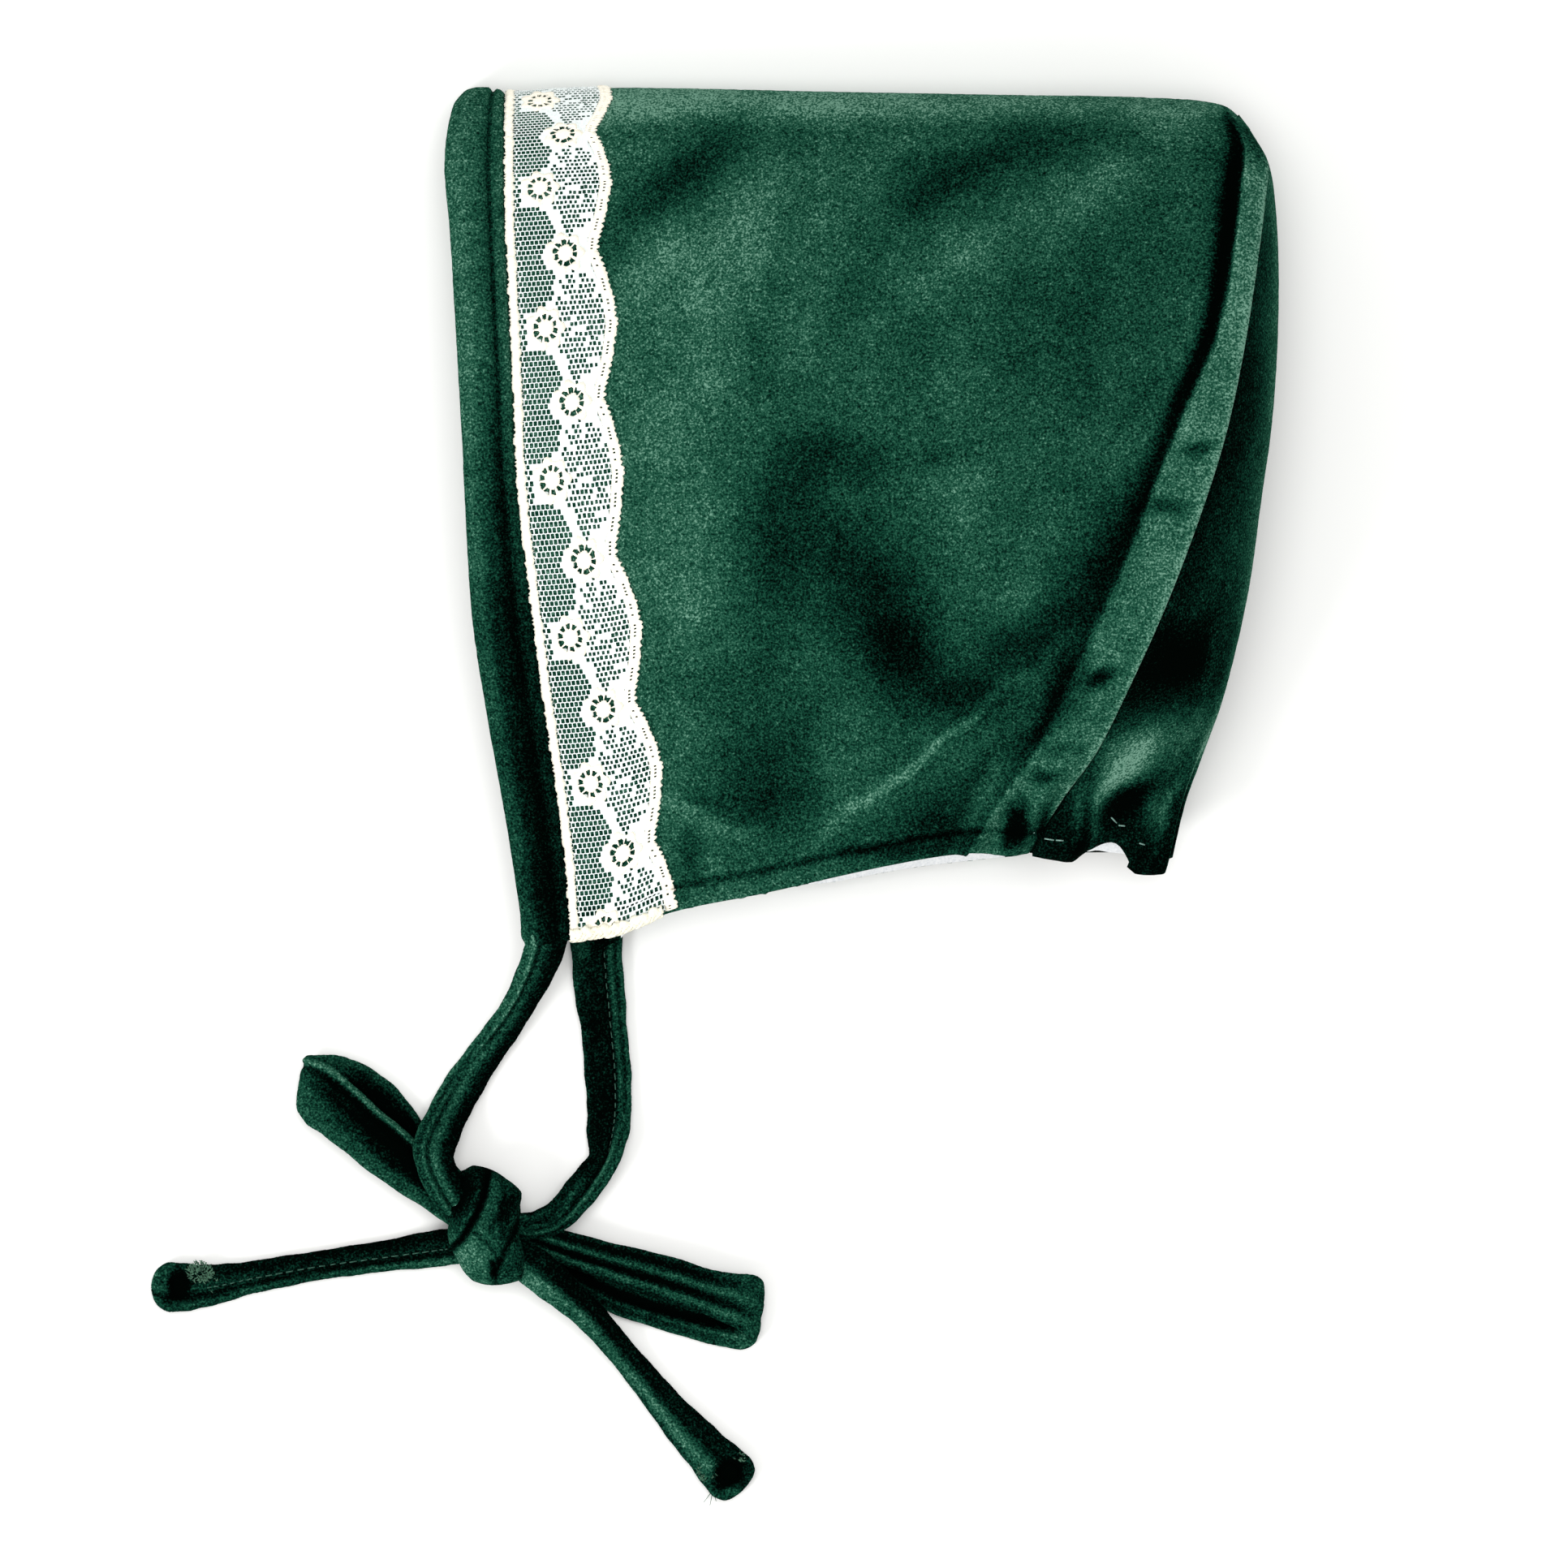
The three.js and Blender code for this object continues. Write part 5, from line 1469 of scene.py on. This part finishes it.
RIGHT_END_LOOK = {
    "folds": ((-0.35, 0.35, 0.2), (0.25, -0.3, 0.15)),
    "stations": (0, 0.2, 0.5, 0.7, 0.84, 0.92, 1),
    "pile_and_shading": (
        (0.5, 0.46, 0.3, 0.1, 0.05, 0.1),
        (0.56, 0.5, 0.4, 0.14, 0.0, 0.05),
        (0.4, 0.56, 0.42, 0.06, 0.0, 0.1),
        (0.1, 0.5, 0.4, 0.16, 0.02, 0.06),
        (0.26, 0.42, 0.36, 0.12, 0.04, 0.06),
        (0.3, 0.2, 0.1, 0.1, 0.1, 0.26),
        (0.2, 0.3, 0.3, 0.3, 0.3, 0.34),
    ),
    "mouth": (0.9, 0.0, 0.045, 0.62, 1.6),
}


# %% [markdown]
# ## Sweeping a strap
# A strap is a tube with a flat oval section. At each station we work out where the strap is heading and
# which way its flat side lies, and set the section there, with its folds and its unevenness.

# %% Strap section and sweep
FOLD_FADE = {"by": 0.8, "over": 0.05}
CAP_SHARE = 0.1
CAP_LEAST = 0.03
# Painted highlight on ridges, painted side light and painted shadow in a strap's mouth.
RIDGE_PAINTED_HIGHLIGHT = 0.5
STRAP_PAINTED_SIDE_LIGHT = 0.12
MOUTH_SHADOW = 0.7


def mouth_share(look, wide, v):
    """How deep a point lies in the open mouth of a strap's end, from 0 to 1."""
    if look["mouth"] is None:
        return 0 * v
    at, middle, long, broad, depth = look["mouth"]
    return np.exp(-((((v - at) / long) ** 2 + ((wide - middle) / broad) ** 2) ** 2))


def fold_height(look, wide, v):
    """Folds fade half way along a strap, where a loop turns over, unless its end has a mouth."""
    height = sum(rise * np.exp(-(((wide - at) / spread) ** 2)) for at, rise, spread in look["folds"])
    if look["mouth"] is None:
        return height * (1 - FOLD_FADE["by"] * np.exp(-(((v - 0.5) / FOLD_FADE["over"]) ** 2)))
    return height - look["mouth"][4] * mouth_share(look, wide, v)


def strap_surface(table, look, thickness):
    """A function from the share round the section and the share along the strap to a point on it.

    A loop folds over at its tip, so its section stays square to the heading in its table, in degrees.
    """
    centres = np.stack([np.array(table[axis], float) for axis in "xyz"], axis=-1)
    steps = np.sqrt(np.linalg.norm(np.diff(centres, axis=0), axis=1))
    travel = np.concatenate([[0], np.cumsum(steps)])
    path = {**table, "travel": travel / travel[-1]}
    curves = {name: curve_of(path, "travel", name) for name in table}

    def centre_at(share):
        return np.stack([curves[axis](share) for axis in "xyz"], axis=-1)

    def place(u, v):
        ahead = unit(centre_at(np.minimum(v + 1e-3, 1)) - centre_at(np.maximum(v - 1e-3, 0)))
        if "heading" in table:
            turned = np.radians(curves["heading"](v))
            level = np.stack([-np.sin(turned), np.cos(turned), 0 * v], axis=-1)
        else:
            level = unit(np.stack([-ahead[:, 1], ahead[:, 0], 0 * v], axis=-1))
        upright = unit(np.cross(ahead, level))
        roll = np.radians(curves["roll"](v))[:, None]
        flat = level * np.cos(roll) + upright * np.sin(roll)
        thin = upright * np.cos(roll) - level * np.sin(roll)
        wide, high = rounded_flat(u * 2 * math.pi)
        uneven = 1 + 0.02 * np.sin(37 * v) + 0.015 * np.sin(83 * v + 1)
        cap = np.ones_like(v)
        if look["mouth"] is not None:
            into_cap = np.clip((v - 1 + CAP_SHARE) / CAP_SHARE, 0, 1)
            cap = np.sqrt(np.clip(1 - into_cap**3, CAP_LEAST, 1))
        half_width = curves["width"](v) * uneven * cap / 2
        raised = high * thickness / 2 + np.sign(high) * np.abs(high) ** 0.5 * fold_height(look, wide, v)
        raised = raised * cap**0.5
        return centre_at(v) + flat * (wide * half_width)[:, None] + thin * raised[:, None] - shift

    return place


def strap_pile_and_painted_light(look):
    """A strap's tone: its table of pile with painted light and shade, painted highlights on its ridges,
    painted side light and a painted shadow in its mouth.
    """

    def pile_and_shading(points, normals, u, v):
        wide, high = rounded_flat(u * 2 * math.pi)
        lean = tone_table(look["pile_and_shading"], look["stations"], PILE_ACROSS, v, wide)
        # Painted highlight on the fold ridges.
        ridge = RIDGE_PAINTED_HIGHLIGHT * np.clip(high * 3, 0, 1) * fold_height({**look, "mouth": None}, wide, v)
        # Painted side light from the lower left.
        lit = STRAP_PAINTED_SIDE_LIGHT * side_light(normals)
        return lean + ridge + lit - MOUTH_SHADOW * mouth_share(look, wide, v)

    return pile_and_shading


# %% [markdown]
# ## Making the ties and the bow
# All six straps are made the same way, so one table and one loop are enough for them.

# %% Ties and bow
STRAPS = (
    ("velvet_tie_near", "tie_near", NEAR_TIE, NEAR_TIE_LOOK, TIE_THICKNESS),
    ("velvet_tie_far", "tie_far", FAR_TIE, FAR_TIE_LOOK, TIE_THICKNESS),
    ("velvet_loop_left", "bow_loop_left", LEFT_LOOP, LEFT_LOOP_LOOK, LOOP_THICKNESS),
    ("velvet_loop_right", "bow_loop_right", RIGHT_LOOP, RIGHT_LOOP_LOOK, LOOP_THICKNESS),
    ("velvet_end_left", "tie_end_left", LEFT_END, LEFT_END_LOOK, TIE_THICKNESS),
    ("velvet_end_right", "tie_end_right", RIGHT_END, RIGHT_END_LOOK, TIE_THICKNESS),
)
STRAP_SIDES = 64
STRAP_STATIONS = 220
straps = {}
strap_places = {}
for name, node, table, look, thickness in STRAPS:
    strap_places[name] = strap_surface(table, look, thickness)
    shape = tube(STRAP_SIDES, STRAP_STATIONS, strap_places[name])
    straps[name] = finish_piece(name, shape, velvet, [node])
    lay_pile_and_painted_light(straps[name], strap_pile_and_painted_light(look))

# %% [markdown]
# ## Knot
# The straps wrap round each other in a knot about 22 mm high. Seen from above it is a rounded lump whose
# wraps are parted by deep creases, so we push creases and one hollow into a dome with the knot's outline.
# Painted shade darkens the creases and the hollow, and painted light lies on the lower left of the knot.

# %% Knot
KNOT_OUTLINE = {
    "angle": (0, 30, 41, 65, 86, 101, 111, 122, 150, 176, 196, 231, 258, 273, 290, 305, 320, 340, 360),
    "radius": (
        *(6.3, 7.8, 9.4, 9.7, 10.8, 11.6, 11.2, 11.6, 8, 6.8),
        *(7.3, 8.3, 10.9, 11.5, 12, 12.6, 10, 7.2, 6.3),
    ),
}
KNOT_MIDDLE = (-44.5, -83.3)
KNOT_THICKNESS = 13
KNOT_CREASES = (
    (2.0, 0.6, ((-43.6, -72.5), (-44.3, -77.5), (-46, -81.5), (-48.6, -85.8), (-51, -88))),
    (1.3, 0.55, ((-37, -81), (-38.8, -84.5), (-41.3, -90.2), (-42.6, -92.4))),
    (1.1, 0.5, ((-42.9, -90.2), (-42.4, -92.4), (-42.2, -95))),
    (0.5, 0.6, ((-45.8, -84.6), (-43, -87.2), (-41.6, -90))),
    (0.5, 0.5, ((-41.5, -73.6), (-40.4, -77), (-41, -80.5), (-43.2, -84.2))),
)
KNOT_HOLLOW = (-49.6, -76.2, 2.6, 4.4, 3.5)
# Painted light on the knot's lower left and painted shade in its hollow, under the near tie.
KNOT_LIGHT_AND_SHADE_MARKS = (
    (-46.8, -88.5, 5.5, 3.6, 60, 0.2),
    (-42.2, -75.8, 3.5, 2, -30, 0.14),
    (-39.2, -81.6, 4.2, 1.5, 66, -0.42),
    (-44.3, -80.5, 4, 1.5, 70, 0.1),
    (-40, -93, 3, 1.6, 0, -0.12),
    (-48.2, -77, 5, 2.8, 82, -0.9),
)


def closeness(x, y, line, spread):
    """From 1 on a line drawn in the plan to 0 away from it."""
    nearest = np.full(x.shape, 1e3)
    for (x0, y0), (x1, y1) in zip(line, line[1:]):
        length = math.hypot(x1 - x0, y1 - y0)
        ahead = ((x - x0) * (x1 - x0) + (y - y0) * (y1 - y0)) / length**2
        ahead = np.clip(ahead, 0, 1)
        nearest = np.minimum(nearest, np.hypot(x - mix(x0, x1, ahead), y - mix(y0, y1, ahead)))
    return np.exp(-((nearest / spread) ** 2))


def knot_place(u, v):
    """A dome with the knot's outline: u goes round it and v goes from its top to its underside."""
    turn = 2 * math.pi * u
    tilt = math.pi * v
    radius = np.interp(np.degrees(turn) % 360, KNOT_OUTLINE["angle"], KNOT_OUTLINE["radius"])
    flat = np.sin(tilt) ** 0.8
    x = KNOT_MIDDLE[0] + radius * flat * np.cos(turn)
    y = KNOT_MIDDLE[1] + radius * flat * np.sin(turn)
    upward = np.sign(np.cos(tilt)) * np.abs(np.cos(tilt)) ** 0.75
    top = np.clip(upward * 3, 0, 1)
    z = KNOT_THICKNESS / 2 * (1 + upward)
    for depth, spread, line in KNOT_CREASES:
        z = z - depth * top * closeness(x, y, line, spread)
    hollow_x, hollow_y, wide, long, depth = KNOT_HOLLOW
    z = z - depth * top * np.exp(-(((x - hollow_x) / wide) ** 2 + ((y - hollow_y) / long) ** 2))
    return np.stack([x, y, z], axis=-1) - shift


def knot_pile_and_painted_light(points, normals, u, v):
    # Painted side light and marks of painted light and shade.
    lean = 0.4 + tone_marks(points, KNOT_LIGHT_AND_SHADE_MARKS) + 0.2 * side_light(normals)
    # Painted shade in the creases.
    for depth, spread, line in KNOT_CREASES:
        lean -= 0.32 * depth * closeness(points[:, 0], points[:, 1], line, spread * 1.2)
    return lean


knot_shape = bent_grid(160, 110, knot_place, joined=True)
bmesh.ops.recalc_face_normals(knot_shape, faces=knot_shape.faces)
knot = finish_piece("velvet_knot", knot_shape, velvet, ["bow_knot"])
lay_pile_and_painted_light(knot, knot_pile_and_painted_light)

# %% [markdown]
# ## Stitches and loose threads
# Rows of short stitches hold the folded ties, and a few stray ones show at the neck. The cut ends of the
# ties fray. Every stitch is a thin rod laid on the velvet, and a loose thread is two short rods that bend
# where they meet and get thinner towards the tip.

# %% Threads
STITCH_LIFT = 0.12
STITCH_THICK = 0.26


def add_rod(shape, start, end, thick, thin=None):
    """A thin rod from start to end, in frame millimetres."""
    start, end = Vector(start), Vector(end)
    length = (end - start).length
    turned = (end - start).to_track_quat("Z", "Y").to_matrix().to_4x4()
    place = Matrix.Translation((start + end) / 2) @ turned
    bmesh.ops.create_cone(
        shape,
        cap_ends=True,
        segments=6,
        radius1=thick / 2,
        radius2=(thick if thin is None else thin) / 2,
        depth=length,
        matrix=place,
    )


def strap_top(name, wide, v):
    """A point just over a strap's upper face."""
    u = np.arccos(np.sign(wide) * np.abs(wide) ** 1.25) / (2 * math.pi)
    point = strap_places[name](np.array([u]), np.array([v]))[0] + shift
    return point + np.array([0, 0, STITCH_LIFT])


def stitch_row(shape, name, wide, first, last, count, chance):
    """Short stitches in a row along a strap."""
    for v in np.linspace(first, last, count, endpoint=False):
        step = (last - first) / count * chance.uniform(0.5, 0.7)
        aside = chance.uniform(-0.015, 0.015)
        start, end = strap_top(name, wide + aside, v), strap_top(name, wide - aside, v + step)
        add_rod(shape, start, end, STITCH_THICK)


def fray(shape, middle, reach, count, chance, lean=(0, 0, 0)):
    """Loose threads that stick out round the cut end of a tie."""
    for _ in range(count):
        turn = chance.uniform(0, 2 * math.pi)
        out = Vector((math.cos(turn), math.sin(turn), chance.uniform(0.1, 0.9))) + Vector(lean)
        spread = math.sqrt(chance.uniform(0, 1))
        root = Vector(middle) + Vector((reach[0] * math.cos(turn), reach[1] * math.sin(turn), 0)) * spread
        bend = root + out.normalized() * chance.uniform(0.2, 0.6)
        tip = bend + Vector([chance.uniform(-far, far) for far in (0.6, 0.6, 0.3)])
        add_rod(shape, root, bend, 0.3, 0.26)
        add_rod(shape, bend, tip, 0.26, 0.1)


def finish_threads(name, shape, material, replaced):
    """Turns rods in millimetres into a piece in the frame's metres."""
    for corner in shape.verts:
        corner.co = corner.co / 1000
    return finish_piece(name, shape, material, replaced)


chance = np.random.default_rng(5)
sewing = bmesh.new()
stitch_row(sewing, "velvet_tie_far", 0.3, 0.06, 0.62, 24, chance)
stitch_row(sewing, "velvet_loop_right", 0.46, 0.16, 0.46, 20, chance)
stitch_row(sewing, "velvet_end_left", 0.1, 0.12, 0.78, 26, chance)
finish_threads("sewing_thread", sewing, green_thread, ["tie_far"])

frayed = bmesh.new()
fray(frayed, (-99, -92.4, 2.9), (2.2, 1.7), 120, chance, lean=(0.2, 0.4, 0))
fray(frayed, (-97.2, -94.4, 2.5), (1.2, 1.2), 40, chance, lean=(0.4, 0, 0))
fray(frayed, (-2, -130.4, 2.6), (1.5, 1.9), 110, chance, lean=(-0.3, 0, 0))
fray(frayed, (4.4, -127.9, 2.6), (1, 0.6), 16, chance, lean=(0.2, 0.6, 0))
for end in ((-2.6, -136.6), (-1.4, -137.2), (-0.2, -136.4)):
    add_rod(frayed, (-0.8, -134.2, 1.6), (*end, 0.5), 0.2, 0.1)
finish_threads("frayed_thread", frayed, frayed_green, ["tie_end_left"])

STRAY_STITCHES = (
    (62.4, -9.3, 64.2, -9.6),
    (64.6, -9.6, 66, -9.7),
    (60.4, -8.2, 61.8, -8.3),
    (75.2, -5.3, 76.2, -6.3),
    (76.6, -6.8, 77.8, -6.9),
    (80.6, -10.2, 81.6, -10.5),
)

def height_at(x, y):
    """Height of the velvet over the floor at a place in the plan, in mm."""
    depsgraph = bpy.context.evaluated_depsgraph_get()
    hit, where, *_ = scene.ray_cast(depsgraph, Vector((x / 1000, y / 1000, 0.2)), Vector((0, 0, -1)))
    return where.z * 1000


neck = bmesh.new()
for x0, y0, x1, y1 in STRAY_STITCHES:
    add_rod(neck, (x0, y0, height_at(x0, y0) + 0.1), (x1, y1, height_at(x1, y1) + 0.1), 0.3)
finish_threads("neck_stitches", neck, pale_thread, ["side_panel"])
